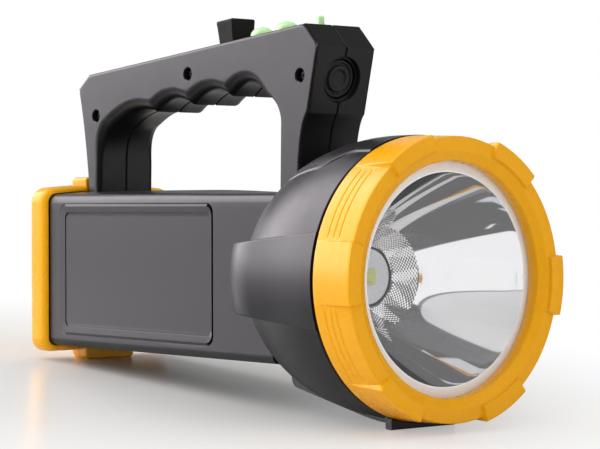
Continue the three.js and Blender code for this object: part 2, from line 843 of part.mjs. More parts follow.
function capSeal() {
  const frame = extrude(bodyShape(-fitGap), 'x', capSealFront, capSealRear);
  const opening = extrude(bodyShape(-bodyWall), 'x', capSealFront + cutOverrun, capSealRear - cutOverrun);
  return frame.subtract(opening);
}

function capScrews() {
  return capBossPlaces().map(([y, z]) => screw('x', [capRear + fitGap, y, z], 1, capScrewLength));
}

// Front foot

// A keel under the head with a bar across its front, which reaches a little way under the bezel.
function frontFoot() {
  const padRear = footFront - footPadLength;
  const keel = new THREE.Shape();
  keel.moveTo(footFront, 0);
  keel.lineTo(footFront, groundUnder(footFront));
  keel.lineTo(padRear, groundUnder(padRear));
  keel.lineTo(footKeelRear + footBarThickness, footKeelRearBottom);
  keel.quadraticCurveTo(
    footKeelRear, footKeelRearBottom, footKeelRear, footKeelRearBottom + footBarThickness);
  keel.lineTo(footKeelRear, 0);
  const barSide = polygon([
    [footFront, 0], [footFront, groundUnder(footFront)],
    [footFront - footBarThickness, groundUnder(footFront - footBarThickness)],
    [footFront - footBarThickness, 0]]);
  const underBezel = revolve([
    [headShoulder, 0], [headShoulder, bezelRearRadius + fitGap],
    [footFront + cutOverrun, bezelRearRadius + fitGap], [footFront + cutOverrun, 0]]);
  return union([
    extrude(keel, 'y', -footKeelHalfWidth, footKeelHalfWidth, 0, curveSteps),
    extrude(barSide, 'y', -footHalfWidth, footHalfWidth),
  ]).subtract(underBezel);
}

// Handle

function handlePoint([along, up]) {
  return [handleRear + along * handleLength, handleFoot + up * (handleTop - handleFoot)];
}

// The inner side of the handle, from its front foot up, along the finger grooves and down to the rear foot.
function traceGrip(shape) {
  shape.lineTo(...handlePoint(gripFrontColumnShare));
  shape.quadraticCurveTo(...handlePoint(gripFrontArcShares[0]), ...handlePoint(gripFrontArcShares[1]));
  for (const [top, cusp] of gripGrooveShares) {
    shape.quadraticCurveTo(...handlePoint(top), ...handlePoint(cusp));
  }
  shape.quadraticCurveTo(...handlePoint(gripRearArcShares[0]), ...handlePoint(gripRearArcShares[1]));
  shape.lineTo(...handlePoint(gripRearFootShare));
}

function handleOutline() {
  const shape = new THREE.Shape();
  const outer = handleOuterShares.map(handlePoint);
  shape.moveTo(...outer[0]);
  shape.quadraticCurveTo(...outer[1], ...outer[2]);
  for (const point of outer.slice(3, 8)) shape.lineTo(...point);
  shape.quadraticCurveTo(...outer[8], ...outer[9]);
  shape.lineTo(...handlePoint(gripFrontFootShare));
  traceGrip(shape);
  return shape;
}

// A closed outline moved inwards by an even distance.
function inset(points, distance) {
  const turn = THREE.ShapeUtils.isClockWise(points) ? -1 : 1;
  return points.map((point, i) => {
    const before = points[(i + points.length - 1) % points.length];
    const after = points[(i + 1) % points.length];
    const inEdge = point.clone().sub(before).normalize();
    const outEdge = after.clone().sub(point).normalize();
    const normal = new THREE.Vector2(-inEdge.y - outEdge.y, inEdge.x + outEdge.x).normalize();
    const cosine = Math.max(0.35, normal.dot(new THREE.Vector2(-inEdge.y, inEdge.x)));
    const reach = typeof distance === 'function' ? distance(point) : distance;
    return point.clone().addScaledVector(normal, (turn * reach) / cosine);
  });
}

// Fillet along the inner side of the handle: none at the front column, full over the grooves and
// smaller down the rear column.
function gripFilletAt(point) {
  const along = (point.x - handleRear) / handleLength;
  const up = Math.max(0, (point.y - handleFoot) / (handleTop - handleFoot));
  const rise = THREE.MathUtils.smoothstep(-along, -gripFilletStartShare, -gripFilletFullShare);
  const column = THREE.MathUtils.smoothstep(up, 0, gripGrooveShares.at(-1)[1][1]);
  return rise * THREE.MathUtils.lerp(gripColumnFillet, gripFillet, column);
}

// Cutters that round both edges of the grip, as slices through a quarter circle.
function gripFillets() {
  const hole = new THREE.Shape();
  const [frontX] = handlePoint(gripFrontFootShare);
  const [rearX] = handlePoint(gripRearFootShare);
  hole.moveTo(frontX, handleFoot - cutOverrun);
  hole.lineTo(...handlePoint(gripFrontFootShare));
  traceGrip(hole);
  hole.lineTo(rearX, handleFoot - cutOverrun);
  const points = hole.getPoints(curveSteps);
  const outlineAt = (share) => inset(
    points, (point) => -gripFilletAt(point) * (1 - Math.sqrt(1 - share * share)));
  const cutters = [];
  for (let i = 0; i < gripFilletSteps; i += 1) {
    const [from, to] = [i, i + 1].map((step) => Math.sin((Math.PI / 2) * (step / gripFilletSteps)));
    const slice = loft(
      outlineAt(from), outlineAt(to), 'y',
      handleHalfThickness - gripFillet * (1 - from), handleHalfThickness - gripFillet * (1 - to));
    cutters.push(slice, slice.mirror([0, 1, 0]));
  }
  return cutters;
}

function handleScrewPlaces() {
  return handleScrewShares.map(handlePoint);
}

// Height of the handle's sloping top face over a place along the lamp.
function topFaceHeight(x) {
  const [rear, front] = [handleOuterShares[4], handleOuterShares[5]].map(handlePoint);
  return rear[1] + ((x - rear[0]) * (front[1] - rear[1])) / (front[0] - rear[0]);
}

const topFaceTilt = Math.atan2(topFaceHeight(handleNose) - topFaceHeight(handleRear), handleLength);

// Moves a solid drawn about the origin, with +Z out of the face, on to the handle's top face.
function onTopFace(solid, x) {
  const turn = -THREE.MathUtils.radToDeg(topFaceTilt);
  return solid.rotate([0, turn, 0]).translate([x, 0, topFaceHeight(x)]);
}

const noseUpper = handlePoint(handleOuterShares[6]);
const noseLower = handlePoint(handleOuterShares[7]);
const noseLean = Math.atan2(noseUpper[0] - noseLower[0], noseUpper[1] - noseLower[1]);

// Moves a solid drawn about the origin, with +X out of the face, on to the handle's nose.
function onNose(solid) {
  const height = handleFoot + portHeightShare * (handleTop - handleFoot);
  const share = (height - noseLower[1]) / (noseUpper[1] - noseLower[1]);
  const x = noseLower[0] + share * (noseUpper[0] - noseLower[0]);
  const turn = THREE.MathUtils.radToDeg(noseLean);
  return solid.rotate([0, turn, 0]).translate([x, 0, height]);
}

function portWindow(grow) {
  return [
    -portWidth / 2 - grow, portWidth / 2 + grow,
    -portDrop - portThickness / 2 - grow, -portDrop + portThickness / 2 + grow];
}

// Both halves of the handle as one hollow body, before it is split down the middle.
function wholeHandle() {
  const outline = handleOutline();
  const points = outline.getPoints(curveSteps);
  if (points[0].distanceTo(points.at(-1)) < fitGap) points.pop();
  const outer = extrude(
    outline, 'y', -handleHalfThickness, handleHalfThickness, handleEdgeRadius, curveSteps);
  const cavityHalf = handleHalfThickness - handleWall;
  const cavity = extrude(new THREE.Shape(inset(points, handleWall)), 'y', -cavityHalf, cavityHalf);
  const solidFeet = block(
    handleRear, handleNose, -handleHalfThickness, handleHalfThickness,
    handleFoot, handleFoot + handleFootSolidHeight);
  const bosses = handleScrewPlaces().map(([x, z]) =>
    bar('y', [x, -cavityHalf - handleWall / 2, z], 2 * cavityHalf + handleWall, handleBossRadius));
  const cup = onNose(bar('x', [0, 0, 0], -portPocketDepth - portCupWall, portPocketRadius + portCupWall,
    smallRingSteps));
  const ledges = [-1, 1].map((side) => onTopFace(block(
    switchBoardRear - pilotPlace, switchBoardFront - pilotPlace,
    side > 0 ? switchBoardHalfWidth - switchBoardLedge : -cavityHalf - handleWall / 2,
    side > 0 ? cavityHalf + handleWall / 2 : switchBoardLedge - switchBoardHalfWidth,
    -switchBoardDepth - switchBoardThickness - switchBoardLedge - fitGap,
    -switchBoardDepth - switchBoardThickness - fitGap), pilotPlace));
  const inside = union([...bosses, cup, ...ledges, solidFeet]).intersect(outer);
  return outer.subtract(cavity).add(inside);
}

function handleCuts() {
  const shaftBores = handleScrewPlaces().flatMap(([x, z]) => [
    bar('y', [x, -handleHalfThickness - cutOverrun, z], cutOverrun + handleScrewHeadDepth,
      handleScrewHoleRadius, smallRingSteps),
    bar('y', [x, -handleHalfThickness, z], handleScrewHeadDepth + handleScrewLength, screwBoreRadius),
  ]);
  const middleGap = handleScrewPlaces().slice(-1).map(([x, z]) => block(
    x - handleBossRadius - fitGap, x + handleBossRadius + fitGap,
    -portWidth / 2 - fitGap, portWidth / 2 + fitGap,
    z - handleBossRadius - fitGap, z + handleBossRadius + fitGap));
  const pocket = onNose(union([
    bar('x', [cutOverrun, 0, 0], -cutOverrun - portPocketStep, portPocketRadius, smallRingSteps),
    bar('x', [0, 0, 0], -portPocketDepth, portPocketStepRadius, smallRingSteps),
  ]));
  const window = onNose(extrude(
    rectangle(...portWindow(fitGap)), 'x', -portPocketDepth - portLength - 2 * portCupWall, 0));
  const slot = onTopFace(block(
    -knobStemLength / 2 - fitGap, knobStemLength / 2 + knobTravel + fitGap,
    -knobStemWidth / 2 - fitGap, knobStemWidth / 2 + fitGap,
    -handleWall - cutOverrun / 2, cutOverrun), knobPlace);
  const topHole = (radius, steps, x) => onTopFace(
    bar('z', [0, 0, -handleWall - fitGap], handleWall + cutOverrun, radius + fitGap, steps), x);
  const buttonHoles = buttonPlaces.map((x) => topHole(buttonRadius, smallRingSteps, x));
  const pilotHole = topHole(pilotRadius, screwSteps, pilotPlace);
  const footBores = handleBaseScrewPlaces().map(([x, y]) =>
    bar('z', [x, y, housingTop([x, y]) - cutOverrun],
      cutOverrun + handleBaseScrewLength - saddleDepth, screwBoreRadius));
  const cone = revolve(headProfile(headShoulder, fitGap));
  return [
    ...gripFillets(), ...shaftBores, ...middleGap, pocket, window, slot,
    ...buttonHoles, pilotHole, ...footBores, cone];
}

function handleHalves() {
  const whole = cutAway(wholeHandle(), handleCuts());
  const reach = 2 * handleHalfThickness;
  const high = handleTop + handleHeight;
  const leftSide = block(handleRear - reach, handleNose + reach, handleSplit, reach, 0, high);
  const rightSide = block(handleRear - reach, handleNose + reach, -reach, -handleSplit, 0, high);
  return [whole.intersect(leftSide), whole.intersect(rightSide)];
}

function handleScrews() {
  const top = -handleHalfThickness + handleScrewHeadDepth - screwHeadHeight - fitGap;
  return handleScrewPlaces().map(([x, z]) => screw('y', [x, top, z], 1, handleScrewLength));
}

function handleBaseScrews() {
  return handleBaseScrewPlaces().map(([x, y]) => {
    const seat = housingTop([x, y]) - saddleDepth - fitGap;
    return screw('z', [x, y, seat - screwHeadHeight], 1, handleBaseScrewLength);
  });
}

// Slide switch, buttons and pilot light

function switchKnob() {
  const half = knobLength / 2;
  const waist = half - knobWaist;
  const cap = new THREE.Shape();
  cap.moveTo(-waist, fitGap);
  cap.lineTo(waist, fitGap);
  cap.lineTo(half, knobHeight - knobCrown);
  cap.quadraticCurveTo(0, knobHeight + knobCrown / 2, -half, knobHeight - knobCrown);
  const across = new THREE.Shape();
  across.moveTo(-knobWidth / 2 + knobWaist, 0);
  across.lineTo(knobWidth / 2 - knobWaist, 0);
  across.lineTo(knobWidth / 2, knobHeight - knobCrown);
  across.quadraticCurveTo(0, knobHeight + knobCrown, -knobWidth / 2, knobHeight - knobCrown);
  const head = extrude(cap, 'y', -knobWidth / 2, knobWidth / 2)
    .intersect(extrude(across, 'x', -knobLength, knobLength));
  const shutterTop = -handleWall - fitGap;
  const stem = block(
    -knobStemLength / 2, knobStemLength / 2, -knobStemWidth / 2, knobStemWidth / 2,
    shutterTop - knobShutterThickness / 2, fitGap + knobCrown);
  const shutterHalf = knobStemLength / 2 + knobTravel + fitGap;
  const shutter = block(
    -shutterHalf, shutterHalf,
    -knobShutterWidth / 2, knobShutterWidth / 2, shutterTop - knobShutterThickness, shutterTop);
  const actuator = block(
    -slideActuatorSide / 2, slideActuatorSide / 2, -slideActuatorSide / 2, slideActuatorSide / 2,
    -switchBoardDepth + slideSwitchHeight - slideActuatorSide / 2, shutterTop - knobShutterThickness / 2);
  return onTopFace(union([head, stem, shutter, actuator]), knobPlace);
}

// The metal frame of the switch, open on top where the actuator slides.
function slideSwitch() {
  const middle = knobTravel / 2;
  const base = -switchBoardDepth + fitGap;
  const frame = block(
    middle - slideSwitchLength / 2, middle + slideSwitchLength / 2,
    -slideSwitchWidth / 2, slideSwitchWidth / 2, base, -switchBoardDepth + slideSwitchHeight);
  const slot = block(
    -slideActuatorSide / 2 - fitGap, knobTravel + slideActuatorSide / 2 + fitGap,
    -slideActuatorSide / 2 - fitGap, slideActuatorSide / 2 + fitGap,
    base + slideActuatorSide / 2, cutOverrun);
  return onTopFace(frame.subtract(slot), knobPlace);
}

function pushButton(x) {
  const steps = 4;
  const domeStart = buttonHeight * 0.45;
  const profile = [];
  const flangeTop = -handleWall - fitGap;
  profile.push([-switchBoardDepth + fitGap + tactHeight + buttonTravel + fitGap, 0]);
  profile.push([-switchBoardDepth + fitGap + tactHeight + buttonTravel + fitGap, buttonStemRadius]);
  profile.push([flangeTop - buttonFlangeThickness, buttonStemRadius]);
  profile.push([flangeTop - buttonFlangeThickness, buttonFlangeRadius]);
  profile.push([flangeTop, buttonFlangeRadius]);
  profile.push([flangeTop, buttonRadius]);
  for (let i = 0; i <= steps; i += 1) {
    const angle = (Math.PI / 2) * (i / steps);
    const radius = i === steps ? 0 : buttonRadius * Math.cos(angle);
    profile.push([domeStart + (buttonHeight - domeStart) * Math.sin(angle), radius]);
  }
  const upright = revolve(profile, smallRingSteps).rotate([0, -90, 0]);
  return onTopFace(upright, x);
}

function pilotLight() {
  const flangeTop = -handleWall - fitGap;
  const bottom = -switchBoardDepth + fitGap + pilotLedHeight + fitGap;
  const profile = [
    [bottom, 0], [bottom, pilotRadius], [flangeTop - pilotFlangeThickness, pilotRadius],
    [flangeTop - pilotFlangeThickness, pilotFlangeRadius], [flangeTop, pilotFlangeRadius],
    [flangeTop, pilotRadius], [pilotHeight - pilotRadius / 2, pilotRadius],
    [pilotHeight, pilotRadius / 2], [pilotHeight, 0]];
  return onTopFace(revolve(profile, screwSteps).rotate([0, -90, 0]), pilotPlace);
}

// Circuit board under the handle's top face, with its two button switches and the pilot's lamp.
function switchBoard() {
  const sole = -switchBoardDepth - switchBoardThickness;
  const board = block(
    switchBoardRear - pilotPlace, switchBoardFront - pilotPlace,
    -switchBoardHalfWidth, switchBoardHalfWidth, sole, -switchBoardDepth);
  const parts = buttonPlaces.map((x) => {
    const middle = x - pilotPlace;
    return block(
      middle - tactSide / 2, middle + tactSide / 2, -tactSide / 2, tactSide / 2,
      -switchBoardDepth - switchBoardThickness / 2, -switchBoardDepth + tactHeight);
  });
  const lamp = block(
    -pilotRadius, pilotRadius, -pilotRadius, pilotRadius,
    -switchBoardDepth - switchBoardThickness / 2, -switchBoardDepth + pilotLedHeight);
  return onTopFace(union([board, ...parts, lamp]), pilotPlace);
}

// Charging port

function chargePlug() {
  const seat = -portPocketDepth + fitGap;
  const disc = revolve([
    [seat, 0], [seat, plugRadius], [seat + plugThickness, plugRadius],
    [seat + plugThickness, plugRimRadius], [seat + plugThickness + plugRimHeight, plugRimRadius],
    [seat + plugThickness + plugRimHeight, 0],
  ], smallRingSteps);
  const tongue = extrude(
    rectangle(...portWindow(-portShell - fitGap)), 'x', seat - plugTongueLength, seat + plugThickness / 2);
  return onNose(disc.add(tongue));
}

function chargePort() {
  const front = -portPocketDepth - fitGap;
  const shell = extrude(rectangle(...portWindow(0)), 'x', front - portLength, front);
  const back = front - portLength + portShell;
  const mouth = extrude(rectangle(...portWindow(-portShell)), 'x', back, cutOverrun);
  return onNose(shell.subtract(mouth));
}

function chargeBoard() {
  const front = -portPocketDepth - portCupWall - fitGap;
  const top = -portDrop - portThickness / 2 - fitGap;
  return onNose(block(
    front - chargeBoardLength, front, -chargeBoardWidth / 2, chargeBoardWidth / 2,
    top - chargeBoardThickness, top));
}

// Battery pack

function batteryCells() {
  const cells = [];
  for (const z of [lowerCellHeight, lowerCellHeight + cellPitch]) {
    for (const y of [-cellPitch / 2, cellPitch / 2]) {
      cells.push(union([
        bar('x', [cellRear, y, z], cellLength, cellRadius, smallRingSteps),
        bar('x', [cellRear + cellLength - cellNubHeight, y, z], 2 * cellNubHeight, cellNubRadius),
      ]));
    }
  }
  return cells;
}

function batteryHolder() {
  const half = cellPitch / 2 + cellRadius;
  const rear = cellRear - holderSpare;
  const front = cellRear + cellLength + cellNubHeight + holderSpare;
  const floor = block(
    rear - holderWall, front + holderWall, -half, half, holderBase, holderBase + holderFloor);
  const ends = [
    block(rear - holderWall, rear, -half, half, holderBase, holderTop),
    block(front, front + holderWall, -half, half, holderBase, holderTop)];
  return union([floor, ...ends]);
}

function driverBoard() {
  const top = driverBoardSole + driverBoardThickness;
  const rear = cellRear - holderSpare - holderWall;
  const front = cellRear + cellLength + cellNubHeight + holderSpare + holderWall;
  const board = block(rear, front, -driverBoardHalfWidth, driverBoardHalfWidth, driverBoardSole, top);
  const third = (front - rear) / 3;
  const sunk = top - driverBoardThickness / 2;
  const inductor = bar('z', [front - third, -driverBoardHalfWidth / 2, sunk],
    inductorHeight, inductorRadius, smallRingSteps);
  const capacitors = [-1, 0, 1].map((place) => bar(
    'x', [rear + third / 2, place * 3 * capacitorRadius, top + capacitorRadius * 0.9],
    capacitorLength, capacitorRadius));
  const connector = block(
    front - connectorLength, front, driverBoardHalfWidth - connectorWidth, driverBoardHalfWidth,
    sunk, sunk + connectorHeight);
  return union([board, inductor, ...capacitors, connector]);
}

// Assembly

function toMeshes(name, solids, material) {
  return solids.map((solid, i) => toMesh(`${name}_${i + 1}`, solid, material));
}

const lamp = new THREE.Group();
const [handleLeft, handleRight] = handleHalves();

lamp.add(
  toMesh('body_housing', housing(), blackPlastic()),
  toMesh('bezel_ring', bezel(), yellowPlastic()),
  toMesh('bezel_seal', bezelSeal(), blackRubber()),
  toMesh('front_lens', lens(), plastic(0xeef2f4, 0.05)),
  toMesh('reflector', reflector(), metal(0xd8dadd, 0.08)),
  toMesh('led_board', ledBoard(), plastic(0xc9c9cf, 0.5)),
  toMesh('led_emitter', ledEmitter(), plastic(0xe6df6a, 0.35)),
  toMesh('heat_sink', heatSink(), metal(0xa9acb0, 0.4)),
  ...toMeshes('heat_sink_screw', sinkScrews(), screwSteel()),
  toMesh('handle_left', handleLeft, blackPlastic()),
  toMesh('handle_right', handleRight, blackPlastic()),
  ...toMeshes('handle_screw', handleScrews(), screwSteel()),
  ...toMeshes('handle_base_screw', handleBaseScrews(), screwSteel()),
  toMesh('switch_knob', switchKnob(), plastic(0x1d1c1d, 0.4)),
  toMesh('slide_switch', slideSwitch(), metal(0xb4b6b9, 0.35)),
  toMesh('rear_button', pushButton(buttonPlaces[0]), greenPlastic()),
  toMesh('front_button', pushButton(buttonPlaces[1]), greenPlastic()),
  toMesh('pilot_light', pilotLight(), greenPlastic()),
  toMesh('switch_board', switchBoard(), circuitBoard()),
  toMesh('charge_plug', chargePlug(), blackRubber()),
  toMesh('charge_port', chargePort(), metal(0xb4b6b9, 0.3)),
  toMesh('charge_board', chargeBoard(), circuitBoard()),
  ...toMeshes('battery_cell', batteryCells(), plastic(0x2f6fb2, 0.4)),
  toMesh('battery_holder', batteryHolder(), plastic(0x26262a, 0.5)),
  toMesh('driver_board', driverBoard(), circuitBoard()),
  toMesh('rear_cap', rearCap(), yellowPlastic()),
  toMesh('rear_cap_seal', capSeal(), blackRubber()),
  ...toMeshes('rear_cap_screw', capScrews(), screwSteel()),
);
lamp.rotation.y = -restTilt;

// The origin is at the middle of the finished lamp's outer box, on the ground.
const part = new THREE.Group();
part.add(lamp);
part.updateMatrixWorld(true);
const outerBox = new THREE.Box3().setFromObject(part, true);
const middle = outerBox.getCenter(new THREE.Vector3());
lamp.position.set(-middle.x, -middle.y, -outerBox.min.z);
part.updateMatrixWorld(true);

export default part;
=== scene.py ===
import json
import math

import bmesh
import bpy
from mathutils import Matrix, Vector, geometry


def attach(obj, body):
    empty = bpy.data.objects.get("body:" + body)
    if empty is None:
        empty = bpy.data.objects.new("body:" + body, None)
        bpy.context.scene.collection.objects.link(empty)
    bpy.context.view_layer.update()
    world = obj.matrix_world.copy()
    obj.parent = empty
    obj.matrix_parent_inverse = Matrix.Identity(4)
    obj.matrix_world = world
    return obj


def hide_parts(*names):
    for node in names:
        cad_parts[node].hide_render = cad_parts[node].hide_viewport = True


# Every piece is drawn in millimetres in the lamp's own frame: the lamp axis is X, the beam leaves along +X,
# the rim of the bezel's mouth is at x = 0, +Y is the left side. LAMP moves it into the frame, in metres.

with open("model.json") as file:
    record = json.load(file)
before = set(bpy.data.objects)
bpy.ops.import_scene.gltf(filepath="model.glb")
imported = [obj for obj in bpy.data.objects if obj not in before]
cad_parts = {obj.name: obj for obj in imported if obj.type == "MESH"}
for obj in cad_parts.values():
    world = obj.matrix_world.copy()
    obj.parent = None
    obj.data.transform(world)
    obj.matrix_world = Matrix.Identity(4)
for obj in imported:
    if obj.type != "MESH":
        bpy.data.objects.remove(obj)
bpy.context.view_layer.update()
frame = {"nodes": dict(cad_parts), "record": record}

MM = 0.001
REST_TILT = math.radians(4.2062769)
LAMP_PLACE = Vector((0.0958859, 0.0, 0.0477008))
TURN = Matrix.Rotation(-REST_TILT, 4, "Y")
LAMP = Matrix.Translation(LAMP_PLACE) @ TURN @ Matrix.Scale(MM, 4)

# Sizes in millimetres

FIT = 0.3
BEZEL_DEPTH, BEZEL_FACE, BEZEL_LIP_DEPTH = 14.7, 1.7, 4.0
BEZEL_REAR_RADIUS, BEZEL_FRONT_RADIUS, BEZEL_RIDGE_RADIUS, MOUTH_RADIUS = 45.0, 44.4, 39.6, 36.8
LUG_FRONT, LUG_RADIUS, LUG_FACE_RADIUS = 3.0, 46.0, 40.5
LUG_COUNT, LUG_HALF_ANGLE, LUG_TURN, LUG_WALL_ANGLE = 6, 12.3, -3.5, 0.45
GROOVE_PLACES, GROOVE_HALF_WIDTH, GROOVE_DEPTH = (-10.0, -7.4, -4.9), 0.6, 0.24
GROOVE_SHARES = ((-1.0, 0), (-0.7, 0.25), (-0.35, 0.85), (0, 1.0), (0.35, 0.85), (0.7, 0.25), (1.0, 0))
SEAL_RADIUS, SEAL_GAP, SEAL_THICKNESS = 44.0, 0.15, 0.8
LENS_FRONT, LENS_REAR, LENS_RADIUS = -1.5, -2.7, 36.5
FLANGE_RADIUS, FLANGE_FRONT, FLANGE_REAR = 40.6, -4.3, -5.7
BOWL_FRONT, BOWL_REAR = -3.0, -40.0
BOWL_MOUTH_RADIUS, BOWL_HOLE_RADIUS, BOWL_WALL = 33.4, 9.8, 1.6
FACET_OUTER_RADIUS, FACET_COUNT, FACET_ROWS, FACET_SWELL = 16.4, 64, 18, 0.1
LED_FRONT, LED_RADIUS, LED_THICKNESS, LED_EDGE = -40.4, 13.0, 1.6, 0.25
LED_BEAD_INNER, LED_BEAD_OUTER, LED_BEAD_HEIGHT, LED_WHITE_RADIUS = 8.9, 9.45, 0.12, 9.05
CHIP_HALF, CHIP_HEIGHT, CHIP_CORNER, CHIP_EDGE = 2.5, 0.9, 0.6, 0.15
CHIP_DOME_RADIUS, CHIP_DOME_HEIGHT = 2.0, 0.9
HEAD_RADIUS, HEAD_SHOULDER, HEAD_WALL = 44.7, -15.8, 2.4
NECK_RADIUS, NECK_WALL, NECK_FRONT = 41.4, 2.0, -6.0
FLARE_START, FLARE_LENGTH, FLARE_DROP, FLARE_LAST_SHARE = -22.0, 56.0, 38.0, 0.93
FAIRING_RADIUS, FAIRING_RISE, FAIRING_RISE_LENGTH = 44.0, 1.05, 24.0
FAIRING_FLARE_START, FAIRING_FLARE_LENGTH, FAIRING_FLARE_DROP = -47.0, 24.0, 20.0
FAIRING_FRONT_HALF, FAIRING_REAR_HALF, FAIRING_FILLET, FAIRING_DEPTH = 15.2, 10.6, 0.9, 12.0
SADDLE_REAR, SADDLE_HEIGHT, SADDLE_ROOT = -50.0, 0.5, 2.0
SADDLE_FRONT_ANGLE, SADDLE_REAR_ANGLE, SADDLE_STEP = 27.0, 38.0, (22.0, 33.0)
BODY_HALF_WIDTH, BODY_BOTTOM, BODY_TOP = 27.0, -28.1, 27.0
BODY_FRONT, BODY_REAR = -56.0, -191.6
BODY_CORNER, BODY_INNER_CORNER, BODY_WALL = 3.0, 1.2, 2.2
CROWN_RISE, CROWN_LEVELS, CROWN_ENDS = 1.6, (20, 24), (75, 120)
PANEL_REAR, PANEL_FRONT = -179.1, -87.3
PANEL_HALF_HEIGHT, PANEL_DEPTH, PANEL_SLOPE, PANEL_CORNER = 23.8, 0.4, 3.6, 3.4
PANEL_LINE_DEPTH, PANEL_FRONT_LINE_DEPTH = 0.45, 1.7
CAP_FRONT, CAP_REAR, CAP_SOCKET = -186.3, -196.2, -193.2
CAP_OVERHANG, CAP_CORNER, CAP_EDGE = 2.5, 5.0, 2.6
CAP_SEAT_DEPTH, CAP_BORE_DEPTH, CUT_OVERRUN = 2.1, 6, 4
CAP_LUG_HALF_WIDTH, CAP_LUG_HEIGHT, CAP_LUG_ROOT, CAP_LUG_CORNER = 10.8, 2.8, 4.0, 1.3
CAP_RECESS_MARGIN, CAP_RECESS_DEPTH, CAP_SCREW_INSET = 11.0, 1.0, 4.7
SCREW_HEAD_RADIUS, SCREW_HEAD_HEIGHT, SCREW_SHAFT_RADIUS, SCREW_LENGTH = 2.0, 1.5, 1.1, 9.0
SCREW_BORE_RADIUS, SCREW_SEAT_RADIUS = 1.45, 2.4
FOOT_FRONT, FOOT_BOTTOM = -14.0, -46.8
FOOT_HALF_WIDTH, FOOT_BAR, FOOT_PAD_LENGTH, FOOT_BEVEL = 13.6, 2.8, 18.3, 0.4
KEEL_HALF_WIDTH, KEEL_REAR, KEEL_REAR_BOTTOM, KEEL_TOP = 5.0, -73.0, -37.0, -27.0
HANDLE_REAR, HANDLE_NOSE = -188.6, -50.3
HANDLE_FOOT, HANDLE_TOP = 27.3, 82.4
HANDLE_HALF, HANDLE_WALL, HANDLE_SPLIT = 12.6, 2.0, 0.15
HANDLE_EDGE, GRIP_FILLET, COLUMN_FILLET, FRONT_COLUMN_FILLET = 1.2, 4.2, 2.4, 0.5
GRIP_FILLET_START, GRIP_FILLET_FULL = 0.86, 0.74
SEAM_CHAMFER, HOLE_CHAMFER = 0.3, 0.35
SCREW_HOLE_RADIUS, SCREW_HEAD_DEPTH, POST_RADIUS = 2.2, 3.4, 2.9
UNDER_FACE = -HANDLE_WALL - FIT
KNOB_PLACE, KNOB_LENGTH, KNOB_WIDTH, KNOB_HEIGHT = -108.593, 8.8, 10.4, 10.1
KNOB_TRAVEL, KNOB_WAIST, KNOB_SHOULDER = 3.0, 0.6, 1.6
STEM_HALF_LENGTH, STEM_HALF_WIDTH, ACTUATOR_HALF, ACTUATOR_END = 1.7, 2.5, 0.9, -6.7
SHUTTER_HALF_LENGTH, SHUTTER_HALF_WIDTH, SHUTTER_THICKNESS = 5, 4, 1.2
BUTTON_PLACES, BUTTON_RADIUS, BUTTON_DOME_RADIUS = (-94.418, -81.21), 4.9, 4.0
BUTTON_HEIGHT, BUTTON_DOME_START, BUTTON_RIM = 4.8, 2.16, 0.8
BUTTON_FLANGE_RADIUS, BUTTON_FLANGE, BUTTON_STEM_RADIUS, BUTTON_STEM_END = 6.2, 1.0, 1.6, -4.8
PILOT_PLACE, PILOT_RADIUS, PILOT_HEIGHT, PILOT_DOME = -63.508, 1.25, 4.0, 0.75
PILOT_FLANGE_RADIUS, PILOT_FLANGE, PILOT_END = 3.0, 0.8, -7.4
PORT_HEIGHT_SHARE = 0.668
POCKET_RADIUS, POCKET_STEP_RADIUS, POCKET_STEP, POCKET_DEPTH, CUP_WALL = 7.5, 6.7, 1.4, 4.2, 1.4
PORT_HALF_WIDTH, PORT_TOP, PORT_BOTTOM, PORT_REAR = 4.1, -1.2, -4.6, -12.4
PLUG_RADIUS, PLUG_THICKNESS = 6.3, 1.9
TONGUE_HALF_WIDTH, TONGUE_TOP, TONGUE_BOTTOM, TONGUE_LENGTH = 3.0, -2.3, -3.5, 4.4

CAMERA_PLACE = Vector((479.976, -460.318, 23.129))
CAMERA_YAW, CAMERA_PITCH, CAMERA_ROLL = 0.878, 0.009, -0.002
CAMERA_LENS, CAMERA_SENSOR = 128.909, 36.0

# The table, in metres: white to the camera far from FADE_CENTRE. To gloss it is painted grey, and painted
# dark in front of its near
# edge and along its rim: painted reflections.

TABLE_RINGS, TABLE_RIM, TABLE_NEAR_EDGE = (0.38, 0.3, 0.2, 0.1, 0.0), (0.34, 0.35), (-0.11, -0.09)
FADE_CENTRE, FADE_REACH = (-0.063, -0.044, 0.0), (0.07, 0.27)

# Softboxes, in metres and watts. Gloss doesn't show them.

LIT_PLACE = Vector((0.0, 0.0, 0.06))
KEY_OFFSET, KEY_SIZE, KEY_POWER = Vector((-0.75, -0.66, 0.58)).normalized() * 1.25, (1.3, 1.2), 10.5
TOP_OFFSET, TOP_SIZE, TOP_POWER = Vector((0.1, -0.1, 1.4)), (1.2, 1.2), 3.0

# The studio as gloss shows it: windows and dark areas, each from one heading to another and from one height
# to another in degrees, with the softness of those edges, its strength and its colour. Later ones cover
# earlier ones. A heading runs from +X towards +Y, from -260 to 100.

WHITE = (1.0, 1.0, 1.0)
STUDIO_FILL, STUDIO_SIDES, HEADING_SEAM = 0.88, 0.4, math.radians(80)
STUDIO_WINDOWS = [
    ((-5, 110, 1.5), (-95, 80, 1.5), 1.04, WHITE),
    ((-110, -5, 1.5), (-95, 110, 1.5), 0.13, (1.0, 0.96, 0.98)),
    ((48, 110, 2.0), (-60, 110, 2.0), 0.08, WHITE),
    ((-71, -58, 1.0), (9, 37, 1.5), 0.72, (0.95, 0.95, 1.0)),
    ((-60, -51, 1.0), (33, 38, 1.0), 0.75, (0.95, 0.95, 1.0)),
    ((-26, -18, 0.6), (46, 47.4, 0.5), 0.9, WHITE),
    ((-181, -100, 8.0), (-2, 62, 6.0), 6.3, (1.0, 0.95, 1.0)),
]

# The handle's outline as shares of its length, from the rear, and of its height over the body.

